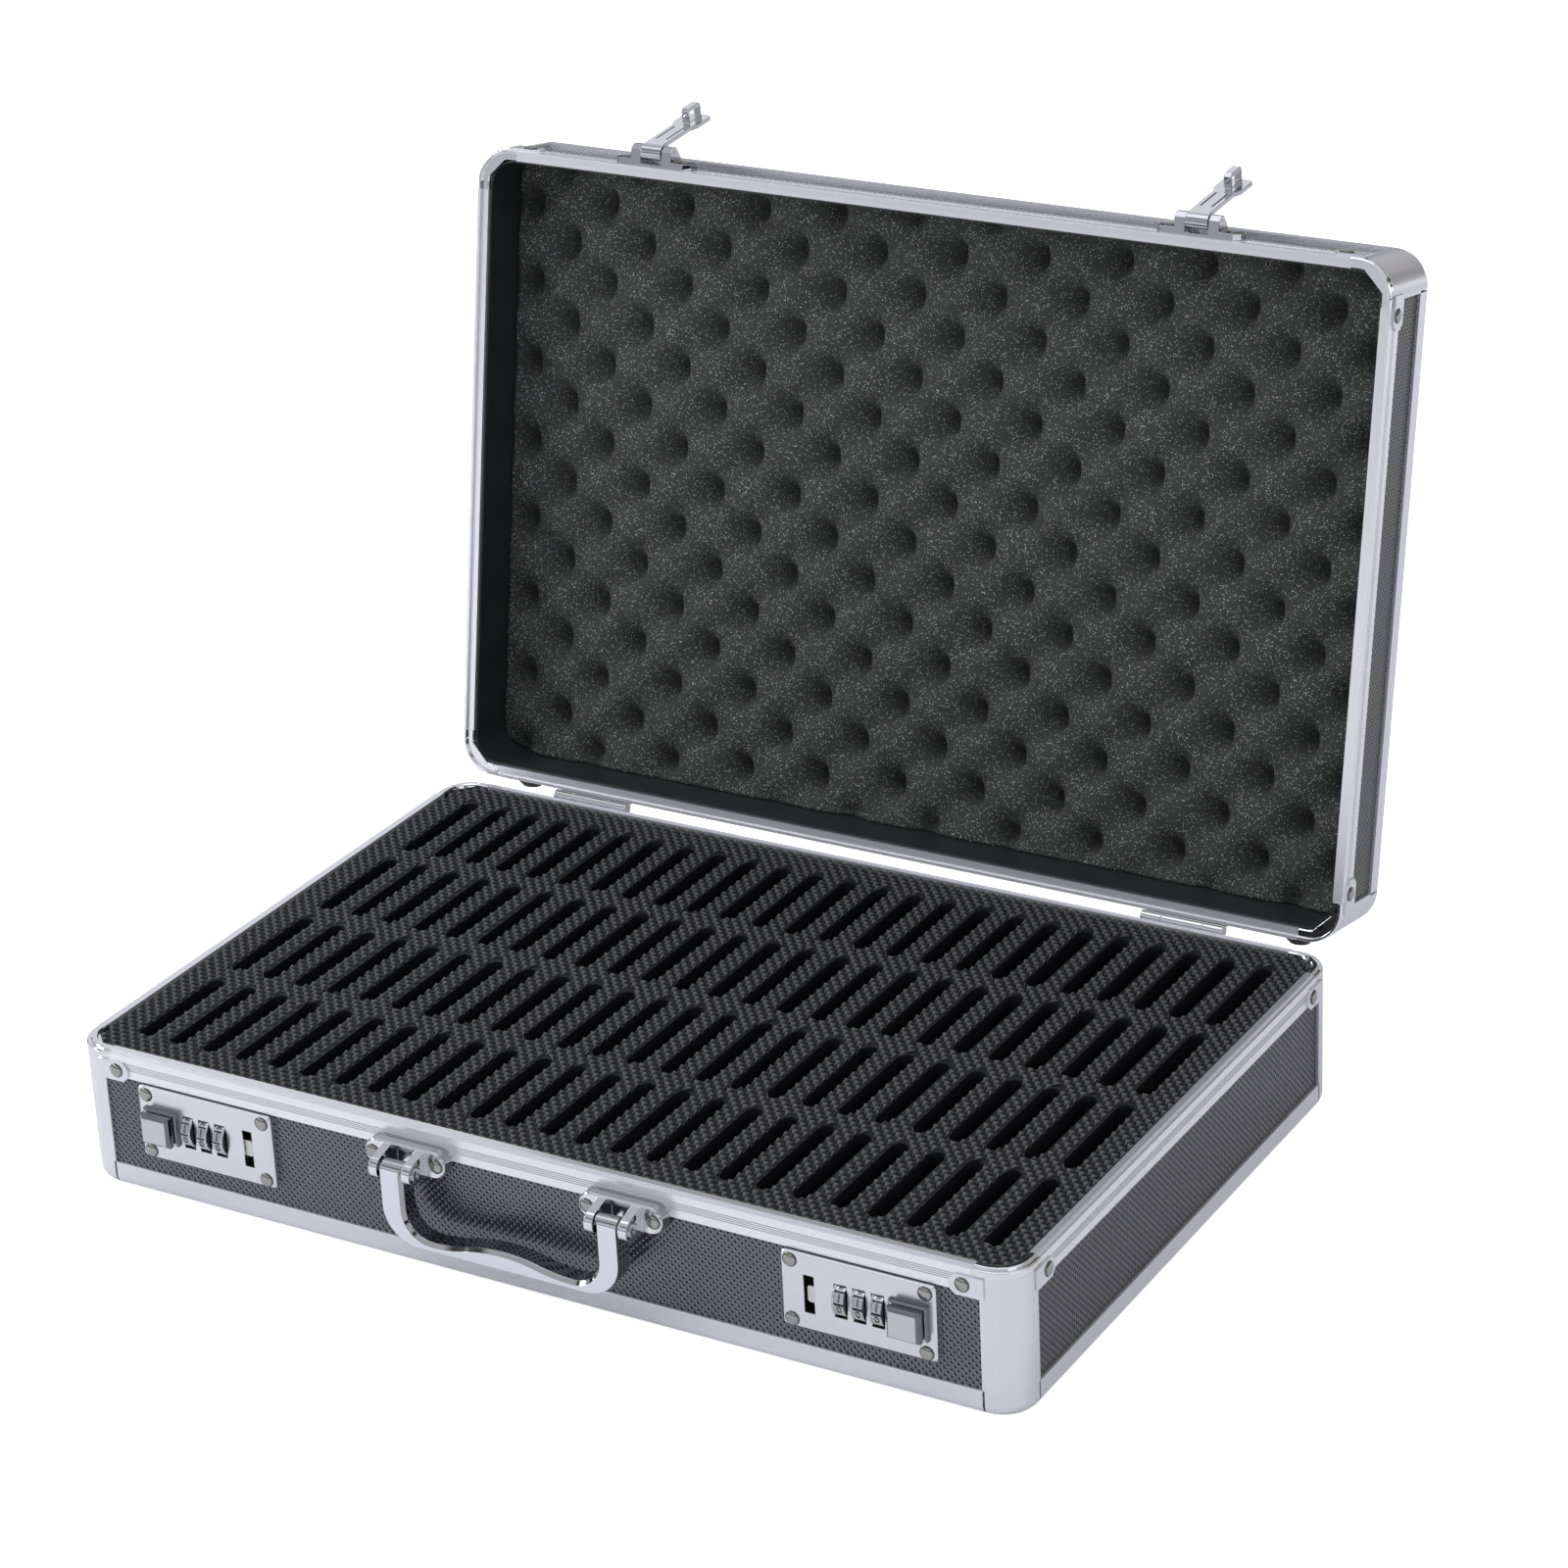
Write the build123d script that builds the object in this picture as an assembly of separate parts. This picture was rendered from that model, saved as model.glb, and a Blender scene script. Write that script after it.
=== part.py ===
from build123d import *
import os
from math import atan2, cos, degrees, radians, sin

# Coin slab case: a shallow tray with slotted foam and a hinged lid, standing open.
# X runs along the front, Y to the back, Z up, in millimetres, from the centre of the underside.

# Whole case
case_width = 460.0
case_depth = 302.0
base_height = 66.2
lid_height = 44.6
lid_gap = 0.25
lid_open_angle = 100.36
corner_radius = 16.0

# Walls: a panel held between the outer and inner flanges of every extrusion
flange_outer = 1.2
panel_thickness = 3.0
flange_inner = 0.8
panel_back = flange_outer + panel_thickness
floor_fit = 0.3
wall = panel_back + flange_inner
post_reach = 1.0
post_sides = 24

# Rim extrusion round both open edges
rim_height = 10.8
rim_inner_height = 9.0
rim_web = 1.6
base_shoulder = 1.9
base_tongue_rise = 1.1
lid_shoulder = 1.4
lid_recess = 1.3
groove_top = 3.6
groove_pitch = 0.95
groove_count = 4
groove_width = 0.5
groove_depth = 0.25

# Edge extrusion round the outer edges of the bottom and of the lid's top
edge_size = 11.7
edge_radius = 5.0
edge_flats = 5
edge_inner = 10.0
cap_inner_bevel = 4.0

# Cast corner at the rim and the tabs of the corner post
rim_corner_reach = 4.0
rim_corner_drop = 3.1
bead_bevel = 0.5
gusset_thickness = 0.9
gusset_line = 13.5
tab_thickness = 0.9
tab_top = 3.3
tab_bottom = 12.5
tab_reach = 14.0
tab_start = 1.3
tab_bevel = 2.6

# Rivets
rivet_radius = 3.3
rivet_head = 1.3
rivet_sides = 12
shank_radius = 1.5
shank_sides = 8
shank_fit = 0.05
small_rivet_radius = 2.2
small_rivet_head = 0.8
base_rivet_front = 24.0
base_rivet_side = 24.5
base_rivet_drop = 7.5
lid_rivet_front = 24.4
lid_rivet_side = 23.4
lid_rivet_drop = 6.8

# Slotted foam: four rows of upright slab slots over a floor pad
foam_top_drop = 1.0
foam_fit = 0.2
pad_thickness = 6.0
foam_half_width = case_width / 2 - wall - foam_fit
foam_half_depth = case_depth / 2 - wall - foam_fit
slots_per_row = 25
row_count = 4
slot_width = 7.6
end_foam = 14.0
front_foam = 15.05
row_gap = 10.5
slot_pitch = (2 * (foam_half_width - end_foam) - slot_width) / (slots_per_row - 1)
slot_length = (2 * (foam_half_depth - front_foam) - (row_count - 1) * row_gap) / row_count

# Lid lining and egg-crate foam
lining_radius = 13.0
lining_thickness = 0.8
lining_edge = 3.0
crate_sheet = 5.2
crate_rise = 7.4
crate_margin = 4.0
crate_pitch_x = 40.5
crate_pitch_y = 38.0
crate_foot = 23.0
crate_crest = 8.0

# Combination locks on the front, mirrored left to right
lock_inset = 70.4
lock_centre = case_width / 2 - lock_inset
lock_width = 70.0
lock_height = 34.5
lock_top = 11.3
lock_front = 2.2
lock_face = 1.0
lock_bevel = 0.8
lock_corner = 2.0
lock_middle = lock_top + lock_height / 2
lock_rivet_x = 30.5
lock_rivet_z = 13.6
pocket_left = lock_centre - 27.6
pocket_right = lock_centre + 28.4
pocket_top = 16.0
pocket_bottom = 42.5
housing_depth = 14.2
housing_wall = 1.0
housing_fit = 0.2
bulkhead_bottom = 37.9
bulkheads = ((lock_centre - 11.9, lock_centre - 11.1), (lock_centre + 13.9, lock_centre + 14.9))
window_width = 4.8
window_top = 20.5
window_bottom = 37.8

# Number dials
dial_centres = (lock_centre - 7.9, lock_centre + 0.6, lock_centre + 9.1)
dial_axis_drop = 28.7
dial_axis_in = 3.8
dial_radius = 9.0
dial_face_radius = 8.7
dial_groove = 0.6
dial_drum = 4.3
dial_disc = 0.9
disc_sides = 20
dial_slot_width = 5.8
dial_slot_height = 15.4
dial_digits = 10
shaft_radius = 2.0
running_fit = 0.05

# Opening button with its slider and bolt
button_travel = 4.0
button_left = lock_centre + 14.4
button_width = 17.5
button_height = 15.6
button_drop = 28.6
button_flange = 1.9
button_neck = 1.0
button_cap_front = 8.8
button_cap_width = 14.9
button_cap_height = 14.0
button_bevel = 1.3
slide_fit = 0.1
stem_left = lock_centre + 18.0
stem_width = 4.8
stem_height = 5.0
slider_top = 38.2
slider_bottom = 40.7
slider_front = -2.5
slider_back = -6.5
riser_left = lock_centre - 19.4
riser_width = 3.0
bolt_height = 7.6
bolt_drop = 29.5
bolt_front = 0.95
bolt_back = -2.25
bolt_reach = 3.8
bolt_round = 1.2

# Carrying handle and its brackets
bracket_length = 40.0
bracket_height = 12.5
bracket_drop = 11.3
bracket_front = 6.2
bracket_rivet = 15.8
bracket_bevel = 0.6
lug_inner = 6.1
lug_outer = 10.1
lug_radius = 4.9
lug_root_top = 5.6
lug_root_bottom = 17.0
bracket_pocket_top = 7.8
bracket_pocket_floor = 2.4
handle_axis_drop = 12.7
handle_axis_out = 13.2
handle_pin_radius = 2.0
pin_head_radius = 3.1
pin_head = 1.0
cross_width = 0.8
cross_length = 3.6
cross_depth = 0.6
handle_half = 57.4
leg_width = 10.4
bracket_centre = handle_half - 4.8
leg_radius = 4.3
handle_bottom = 45.0
handle_corner = 16.5
handle_back = 6.5
handle_edge_bevel = 1.6
heel_height = 6.0
slope_height = 19.0
leg_straight_end = 29.0
grip_corner = 12.5
grip_middle = 37.2

# Hinges
hinge_centre = case_width / 2 - 74.5
hinge_length = 40.0
hinge_out = 3.0
knuckle_radius = 2.8
hinge_pin_radius = 1.2
leaf_thickness = 1.4
leaf_near = 3.2
leaf_far = 9.8
knuckle_end = 10.0
knuckle_gap = 0.1
hinge_rivet_x = 13.0
hinge_rivet_z = 6.6

# Hasps on the lid's front
hasp_centre = lock_centre - 22.2
hasp_pad = 3.0
hasp_pad_floor = 1.2
hasp_half = 20.0
hasp_low = 2.0
hasp_high = 13.0
hasp_chamfer = 3.0
hasp_rivet = 15.3
hasp_rivet_depth = 7.5
cheek_inner = 5.5
cheek_outer = 10.6
cheek_out = 9.8
hasp_axis_out = 6.5
hasp_axis_depth = 5.0
hasp_pin_radius = 1.55
barrel_radius = 3.8
barrel_half = 5.25
lever_rest_angle = 14.3
lever_thickness = 1.9
lever_face = 4.1
lever_tip = 41.0
lever_half = 5.0
plate_half = 6.7
loop_middle = 34.45
loop_length = 11.5
loop_opening = 9.4
loop_half = 1.7
loop_top = 10.8
loop_bar = 1.9
loop_bevel = 1.4
slit_width = 0.7
slit_depth = 0.6
slit_offset = 2.7

# Rear feet for standing the closed case on its back
foot_radius = 7.0
foot_height = 9.0
foot_edge = 2.6
foot_sides = 20
foot_x = case_width / 2 - 27.0
base_foot_drop = 45.0
lid_foot_depth = 21.0

rim_plane = base_height
lid_plane = base_height + lid_gap
front_face = -case_depth / 2
back_face = case_depth / 2
hinge_axis_y = back_face + hinge_out
SIDES = ((0, case_depth, case_width), (90, case_width, case_depth),
         (180, case_depth, case_width), (270, case_width, case_depth))
CORNERS = ((1, 1, 0), (-1, 1, 90), (-1, -1, 180), (1, -1, 270))


def block(x0, x1, y0, y1, z0, z1):
    """Box between two opposite corners."""
    middle = Pos((x0 + x1) / 2, (y0 + y1) / 2, (z0 + z1) / 2)
    return middle * Box(abs(x1 - x0), abs(y1 - y0), abs(z1 - z0))


def front_plane(out):
    """Sketch plane on the case's front: X across, Y up from the rim plane, `out` proud of the wall."""
    return Plane(origin=(0, front_face - out, rim_plane), x_dir=(1, 0, 0), z_dir=(0, -1, 0))


def front_block(x0, x1, drop0, drop1, out0, out1):
    """Box on the front, given by its drops below the rim plane and its distances out."""
    return block(x0, x1, front_face - out1, front_face - out0, rim_plane - drop1, rim_plane - drop0)


def across(radius, length, x, y, z):
    """Cylinder lying along X."""
    return Pos(x, y, z) * Rot(0, 90, 0) * Cylinder(radius, length)


def profile_along_x(points, length):
    """Prism of a (Y, Z) outline, centred on X = 0."""
    outline = Plane.YZ.offset(-length / 2) * Polygon(*points, align=None)
    return extrude(outline, length)


def round_bar(radius, sides, low, high):
    """Upright bar with enough flats to pass for round, between two heights."""
    return extrude(Pos(0, 0, low) * RegularPolygon(radius, sides), high - low)


def dome(radius, top_radius, sides, low, high):
    """Low cone with flats, narrowing from one radius to a smaller one."""
    foot = Pos(0, 0, low) * RegularPolygon(radius, sides)
    crown = Pos(0, 0, high) * RegularPolygon(top_radius, sides)
    return loft([foot.face(), crown.face()], ruled=True)


def rivet(radius, head, shank):
    """Domed rivet standing on Z = 0 with its shank below."""
    rim = head * 0.4
    piece = round_bar(radius, rivet_sides, 0, rim) + dome(radius, radius * 0.5, rivet_sides, rim, head)
    return piece + round_bar(shank_radius, shank_sides, -shank, 0)


def shank_hole(length):
    """Drilling for a rivet shank, from just above Z = 0 downwards."""
    return round_bar(shank_radius + shank_fit, shank_sides, -length - 0.5, 0.5)


def on_front(x, drop, out):
    """Place a shape that stands on Z = 0 on the case's front instead."""
    return Pos(x, front_face - out, rim_plane - drop) * Rot(90, 0, 0)


def pair(shape):
    """A shape and its mirror image on the other half of the case."""
    return [shape, mirror(shape, Plane.YZ)]


def write(name, shapes):
    """One STEP file per node."""
    solids = [solid for shape in shapes for solid in shape.solids()]
    export_step(Compound(label=name, children=solids), "parts/" + name + ".step")


# Tray frame, shared by base and lid: the rim plane at Z = 0 and the closed face at Z = -height
def side_place(angle, across_size):
    return Rot(0, 0, angle) * Pos(0, -across_size / 2, 0)


def corner_place(side_x, side_y, angle):
    x = side_x * (case_width / 2 - corner_radius)
    y = side_y * (case_depth / 2 - corner_radius)
    return Pos(x, y, 0) * Rot(0, 0, angle)


def rim_outline(shoulder, step):
    """Section of the rim extrusion as (distance in from the outer face, height)."""
    points = [(0, 0)]
    for groove in range(groove_count):
        top = groove_top + groove * groove_pitch
        points += [(0, -top), (groove_depth, -top - groove_width / 2), (0, -top - groove_width)]
    web = rim_web - min(step, 0)
    points += [(0, -rim_height), (flange_outer, -rim_height), (flange_outer, -web)]
    points += [(panel_back, -web), (panel_back, -rim_inner_height), (wall, -rim_inner_height)]
    points += [(wall, step), (shoulder, step), (shoulder, 0)]
    return points


def edge_rounding():
    """Points of the rounded outer corner, in flats of equal turn, about its lower outer limit."""
    turns = [radians(90 * step / edge_flats) for step in range(edge_flats + 1)]
    return [(edge_radius * (1 - cos(turn)), edge_radius * (1 - sin(turn))) for turn in turns]


def edge_outline(height):
    """Section of the edge extrusion, its rounded corner outwards, as (distance in, height)."""
    low = -height
    outline = Pos(flange_outer / 2, low + edge_size / 2) * Rectangle(flange_outer, edge_size)
    outline += Pos(edge_size / 2, low + flange_outer / 2) * Rectangle(edge_size, flange_outer)
    outline += Pos(wall / 2, low + wall / 2) * Rectangle(wall, wall)
    inner_middle = panel_back + flange_inner / 2
    outline += Pos(inner_middle, low + edge_inner / 2) * Rectangle(flange_inner, edge_inner)
    outline += Pos(edge_inner / 2, low + inner_middle) * Rectangle(edge_inner, flange_inner)
    corner = Pos(0, low) * Polygon(*edge_rounding(), (0, 0), align=None)
    return outline - corner


def rim_extrusions(shoulder, step, rivet_front, rivet_side, rivet_drop):
    pieces = []
    for angle, across_size, length in SIDES:
        half = length / 2 - corner_radius - post_reach
        top_half = length / 2 - corner_radius - rim_corner_reach
        piece = profile_along_x(rim_outline(shoulder, step), 2 * half)
        inset = rivet_front if length == case_width else rivet_side
        for end in (-1, 1):
            piece -= block(end * top_half, end * (half + 1), -1, wall + 1, -rim_corner_drop, step + 2)
            place = Pos(end * (length / 2 - inset), 0, -rivet_drop) * Rot(90, 0, 0)
            piece -= place * shank_hole(flange_outer + 0.5)
        pieces.append(side_place(angle, across_size) * piece)
    return pieces


def edge_extrusions(height):
    pieces = []
    for angle, across_size, length in SIDES:
        whole = length - 2 * (corner_radius + post_reach)
        outline = Plane.YZ.offset(-whole / 2) * edge_outline(height)
        pieces.append(side_place(angle, across_size) * extrude(outline, whole))
    return pieces


def swept_corner(outline, reach):
    """An outline in (radius, height) turned a quarter round, with a straight length at each end."""
    face = Plane.XZ * outline
    turned = revolve(face, Axis.Z, 90)
    return turned + extrude(face, reach) + Rot(0, 0, 90) * extrude(face, -reach)


def corner_caps(height):
    """Rounded shells that close the case's outer corners."""
    points = [(0, edge_size), *edge_rounding(), (edge_size, 0), (edge_size, flange_outer)]
    points += [(cap_inner_bevel, flange_outer), (flange_outer, cap_inner_bevel), (flange_outer, edge_size)]
    outline = Polygon(*[(corner_radius - inset, rise - height) for inset, rise in points], align=None)
    piece = swept_corner(outline, post_reach)
    inner = corner_radius - edge_size + 1
    piece += block(-post_reach, inner, -post_reach, inner, -height, -height + flange_outer)
    return [corner_place(*corner) * piece for corner in CORNERS]


def post_section():
    """Hollow quarter-round post whose flanges grip the two panels."""
    section = Circle(corner_radius) - RegularPolygon(corner_radius - wall, post_sides)
    hollow = RegularPolygon(corner_radius - flange_outer, post_sides)
    hollow -= RegularPolygon(corner_radius - panel_back, post_sides)
    quarter = Pos(corner_radius, corner_radius) * Rectangle(2 * corner_radius, 2 * corner_radius)
    inside = Pos(1, 1) * quarter
    section = (section & quarter) - (hollow & inside)
    for inset, thickness in ((0, flange_outer), (panel_back, flange_inner)):
        middle = corner_radius - inset - thickness / 2
        section += Pos(-post_reach / 2, middle) * Rectangle(post_reach, thickness)
        section += Pos(middle, -post_reach / 2) * Rectangle(thickness, post_reach)
    return section


def post_tab(inset, rivet_drop):
    """Tab folded over the rim, in the corner frame, on the face towards +Y."""
    length = tab_reach + tab_start
    height = tab_bottom - tab_top
    plate = Rectangle(length, height)
    plate = chamfer(plate.vertices().group_by(Axis.X)[0], tab_bevel)
    face = Plane(origin=(0, corner_radius, 0), x_dir=(-1, 0, 0), z_dir=(0, 1, 0))
    middle = Pos((tab_reach - tab_start) / 2, -(tab_top + tab_bottom) / 2)
    tab = extrude(face * middle * Rot(0, 0, 180) * plate, tab_thickness)
    place = Pos(corner_radius - inset, corner_radius + tab_thickness, -rivet_drop) * Rot(-90, 0, 0)
    return tab - place * shank_hole(tab_thickness + 0.5)


def corner_posts(height, rivet_front, rivet_side, rivet_drop):
    pieces = []
    for side_x, side_y, angle in CORNERS:
        along_front = angle % 180 == 0
        first, second = (rivet_front, rivet_side) if along_front else (rivet_side, rivet_front)
        length = height - edge_size - rim_corner_drop
        post = extrude(Pos(0, 0, -rim_corner_drop - length) * post_section(), length)
        post += post_tab(first, rivet_drop)
        post += mirror(post_tab(second, rivet_drop), Plane((0, 0, 0), z_dir=(1, -1, 0)))
        pieces.append(corner_place(side_x, side_y, angle) * post)
    return pieces


def corner_rivets(rivet_front, rivet_side, rivet_drop):
    pieces = []
    for angle, across_size, length in SIDES:
        inset = rivet_front if length == case_width else rivet_side
        for end in (-1, 1):
            place = Pos(end * (length / 2 - inset), -tab_thickness, -rivet_drop) * Rot(90, 0, 0)
            piece = place * rivet(rivet_radius, rivet_head, tab_thickness + flange_outer - shank_fit)
            pieces.append(side_place(angle, across_size) * piece)
    return pieces


def rim_corners(shoulder, step):
    """Cast corners that join the rim extrusions, beaded on top, with a gusset inside."""
    outer = corner_radius
    inner = corner_radius - wall
    ledge = corner_radius - shoulder
    points = [(inner, -rim_corner_drop), (outer, -rim_corner_drop), (outer, -bead_bevel)]
    points += [(outer - bead_bevel, 0), (ledge, 0), (ledge, step - bead_bevel)]
    points += [(ledge - bead_bevel, step), (inner + bead_bevel, step), (inner, step - bead_bevel)]
    if step < 0:
        points[4:7] = [(ledge, 0), (ledge, step)]
    piece = swept_corner(Polygon(*points, align=None), rim_corner_reach)
    span = 2 * corner_radius
    beyond = Rot(0, 0, 45) * Pos(gusset_line / 2 ** 0.5 + span / 2, 0) * Rectangle(span, span)
    square = Pos(inner / 2 - rim_corner_reach / 2, inner / 2 - rim_corner_reach / 2)
    square *= Rectangle(inner + rim_corner_reach, inner + rim_corner_reach)
    disc = Circle(inner + 0.5)
    strips = Pos(-rim_corner_reach / 2, inner) * Rectangle(rim_corner_reach, 1)
    strips += Pos(inner, -rim_corner_reach / 2) * Rectangle(1, rim_corner_reach)
    gusset = (square & beyond & disc) + (strips & beyond)
    top = min(step, 0) - 0.1
    piece += extrude(Pos(0, 0, top - gusset_thickness + 0.1) * gusset, gusset_thickness)
    return [corner_place(*corner) * piece for corner in CORNERS]


def side_panel(height, length, web):
    """Upright panel in side coordinates: X along, Y in from the outer face."""
    half = length / 2 - corner_radius
    panel = block(-half, half, flange_outer, panel_back, -height + wall, -web)
    notch = half - rim_corner_reach
    for end in (-1, 1):
        panel -= block(end * notch, end * (half + 1), flange_outer - 1, wall, -rim_corner_drop, 0)
    return panel


def floor_panel(height):
    """Large panel, rounded at its corners to sit inside the caps."""
    outline = RectangleRounded(case_width - 2 * wall, case_depth - 2 * wall, corner_radius - wall)
    return extrude(Pos(0, 0, -height + flange_outer) * outline, panel_thickness)


def tray(height, shoulder, step, rivets):
    """Every piece that base and lid have alike."""
    web = rim_web - min(step, 0)
    panels = []
    for angle, across_size, length in SIDES:
        panels.append(side_place(angle, across_size) * side_panel(height, length, web))
    return {
        "front_panel": [panels[0]],
        "right_panel": [panels[1]],
        "back_panel": [panels[2]],
        "left_panel": [panels[3]],
        "floor_panel": [floor_panel(height)],
        "rim_extrusions": rim_extrusions(shoulder, step, *rivets),
        "edge_extrusions": edge_extrusions(height),
        "corner_posts": corner_posts(height, *rivets),
        "corner_caps": corner_caps(height),
        "rim_corners": rim_corners(shoulder, step),
        "corner_rivets": corner_rivets(*rivets),
    }


# Slotted foam
def slot_positions():
    first = -(slots_per_row - 1) / 2 * slot_pitch
    return [first + index * slot_pitch for index in range(slots_per_row)]


def row_limits():
    """Front and rear end of the slots in every row."""
    step = slot_length + row_gap
    middles = [(row - (row_count - 1) / 2) * step for row in range(row_count)]
    return [(middle - slot_length / 2, middle + slot_length / 2) for middle in middles]


def foam_fins():
    """Foam between neighbouring slots of each row."""
    low = wall + pad_thickness
    high = rim_plane - foam_top_drop
    starts = [-foam_half_width] + [x + slot_width / 2 for x in slot_positions()]
    ends = [x - slot_width / 2 for x in slot_positions()] + [foam_half_width]
    pieces = []
    for near, far in row_limits():
        for start, end in zip(starts, ends):
            pieces.append(block(start, end, near, far, low, high))
    return pieces


def foam_bars():
    """Foam that runs across in front of, between and behind the rows."""
    low = wall + pad_thickness
    high = rim_plane - foam_top_drop
    limits = [-foam_half_depth, *[y for row in row_limits() for y in row], foam_half_depth]
    whole = RectangleRounded(2 * foam_half_width, 2 * foam_half_depth, corner_radius - wall)
    pieces = []
    for start, end in zip(limits[0::2], limits[1::2]):
        outline = Pos(0, (start + end) / 2) * Rectangle(2 * foam_half_width, end - start)
        pieces.append(extrude(Pos(0, 0, low) * (outline & whole), high - low))
    room = foam_fit + housing_fit
    notch = front_block(pocket_left - room, pocket_right + room, pocket_top - room,
                        pocket_bottom + room, -wall + 1, -housing_depth - room)
    for cut in pair(notch):
        pieces[0] -= cut
    return pieces


def foam_pad():
    """Plain pad that the slabs stand on."""
    outline = RectangleRounded(2 * foam_half_width, 2 * foam_half_depth, corner_radius - wall)
    return extrude(Pos(0, 0, wall) * outline, pad_thickness)


# Locks
def lock_plate():
    """Die-cast plate with dial slots, hasp window, bevelled edge and a hollow back."""
    outline = Pos(lock_centre, -lock_middle) * RectangleRounded(lock_width, lock_height, lock_corner)
    plate = extrude(front_plane(-flange_outer) * outline, lock_front + flange_outer)
    plate = chamfer(plate.faces().sort_by(Axis.Y)[0].edges(), lock_bevel)
    plate -= front_block(pocket_left, pocket_right, pocket_top, pocket_bottom,
                         -flange_outer - 1, lock_front - lock_face)
    plate -= front_block(hasp_centre - window_width / 2, hasp_centre + window_width / 2,
                         window_top, window_bottom, 0, lock_front + 1)
    for x in dial_centres:
        plate -= front_block(x - dial_slot_width / 2, x + dial_slot_width / 2,
                             dial_axis_drop - dial_slot_height / 2,
                             dial_axis_drop + dial_slot_height / 2, 0, lock_front + 1)
    slot_margin = 0.3
    plate -= front_block(stem_left - slot_margin, stem_left + stem_width + button_travel + slot_margin,
                         button_drop - stem_height / 2 - slot_margin,
                         button_drop + stem_height / 2 + slot_margin, 0, lock_front + 1)
    for x, drop in lock_rivet_places():
        plate -= on_front(x, drop, lock_front) * shank_hole(lock_front + flange_outer)
    return plate


def lock_rivet_places():
    signs = ((-1, -1), (-1, 1), (1, -1), (1, 1))
    return [(lock_centre + sx * lock_rivet_x, lock_middle + sz * lock_rivet_z) for sx, sz in signs]


def lock_housing():
    """Open-fronted box behind the plate, with two bulkheads that carry the dial shaft."""
    left = pocket_left + housing_fit
    right = pocket_right - housing_fit
    top = pocket_top + housing_fit
    bottom = pocket_bottom - housing_fit
    shell = front_block(left, right, top, bottom, -housing_depth, -flange_outer)
    shell -= front_block(left + housing_wall, right - housing_wall, top + housing_wall,
                         bottom - housing_wall, -housing_depth + housing_wall, 0)
    for start, end in bulkheads:
        shell += front_block(start, end, top, bulkhead_bottom, -housing_depth, -flange_outer)
    return shell - dial_shaft()


def dial_shaft():
    start = bulkheads[0][0]
    end = bulkheads[1][1]
    return across(shaft_radius, end - start, (start + end) / 2, front_face + dial_axis_in,
                  rim_plane - dial_axis_drop)


def number_dial(x):
    """Ten-sided number wheel with a notch between digits and a plain disc at its inner side."""
    step = 360 / dial_digits
    flat = radians(step * 0.36)
    dip = radians(step / 2)
    points = []
    for digit in range(dial_digits):
        middle = radians(digit * step)
        for angle, radius in ((middle - flat, dial_face_radius), (middle + flat, dial_face_radius),
                              (middle + dip, dial_face_radius - dial_groove)):
            points.append((radius * cos(angle), radius * sin(angle)))
    drum = extrude(Polygon(*points, align=None), dial_drum)
    wheel = drum + round_bar(dial_radius, disc_sides, -dial_disc, 0)
    wheel -= Cylinder(shaft_radius + running_fit, 4 * dial_drum)
    offset = (dial_drum + dial_disc) / 2 - dial_disc
    place = Pos(x - offset, front_face + dial_axis_in, rim_plane - dial_axis_drop)
    return place * Rot(0, 90, 0) * wheel


def lock_button():
    """Push button: flange on the plate, a narrow groove and a bevelled cap."""
    back = lock_front + slide_fit
    middle_x = button_left + button_width / 2
    middle = Pos(middle_x, -button_drop)
    cap_back = back + button_flange + button_neck
    flange = extrude(front_plane(back) * middle * Rectangle(button_width, button_height), button_flange)
    flange = chamfer(flange.faces().sort_by(Axis.Y)[0].edges(), button_bevel / 2)
    neck_out = front_plane(back + button_flange)
    neck = extrude(neck_out * middle * Rectangle(button_cap_width - 2, button_cap_height - 2), button_neck)
    cap_outline = middle * Rectangle(button_cap_width, button_cap_height)
    cap = extrude(front_plane(cap_back) * cap_outline, button_cap_front - cap_back)
    cap = chamfer(cap.faces().sort_by(Axis.Y)[0].edges(), button_bevel)
    return flange + neck + cap


def latch_slider():
    """U-shaped slider: stem under the button, bar below the dials, bolt across the window."""
    right = stem_left + stem_width
    bar = front_block(riser_left, right, slider_top, slider_bottom, slider_back, slider_front)
    stem_top = button_drop - stem_height / 2
    arm = front_block(stem_left, right, stem_top, slider_bottom, slider_back, slider_front)
    stem = front_block(stem_left, right, stem_top, button_drop + stem_height / 2,
                       slider_front, lock_front + slide_fit)
    bolt_top = bolt_drop - bolt_height / 2
    riser = front_block(riser_left, riser_left + riser_width, bolt_top, slider_bottom,
                        slider_back + 2, bolt_front)
    tip = hasp_centre + window_width / 2 - bolt_reach
    bolt = front_block(tip, riser_left, bolt_top, bolt_drop + bolt_height / 2, bolt_back, bolt_front)
    nose = bolt.edges().filter_by(Axis.Y).group_by(Axis.X)[0]
    return bar + arm + stem + riser + fillet(nose, bolt_round)


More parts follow.
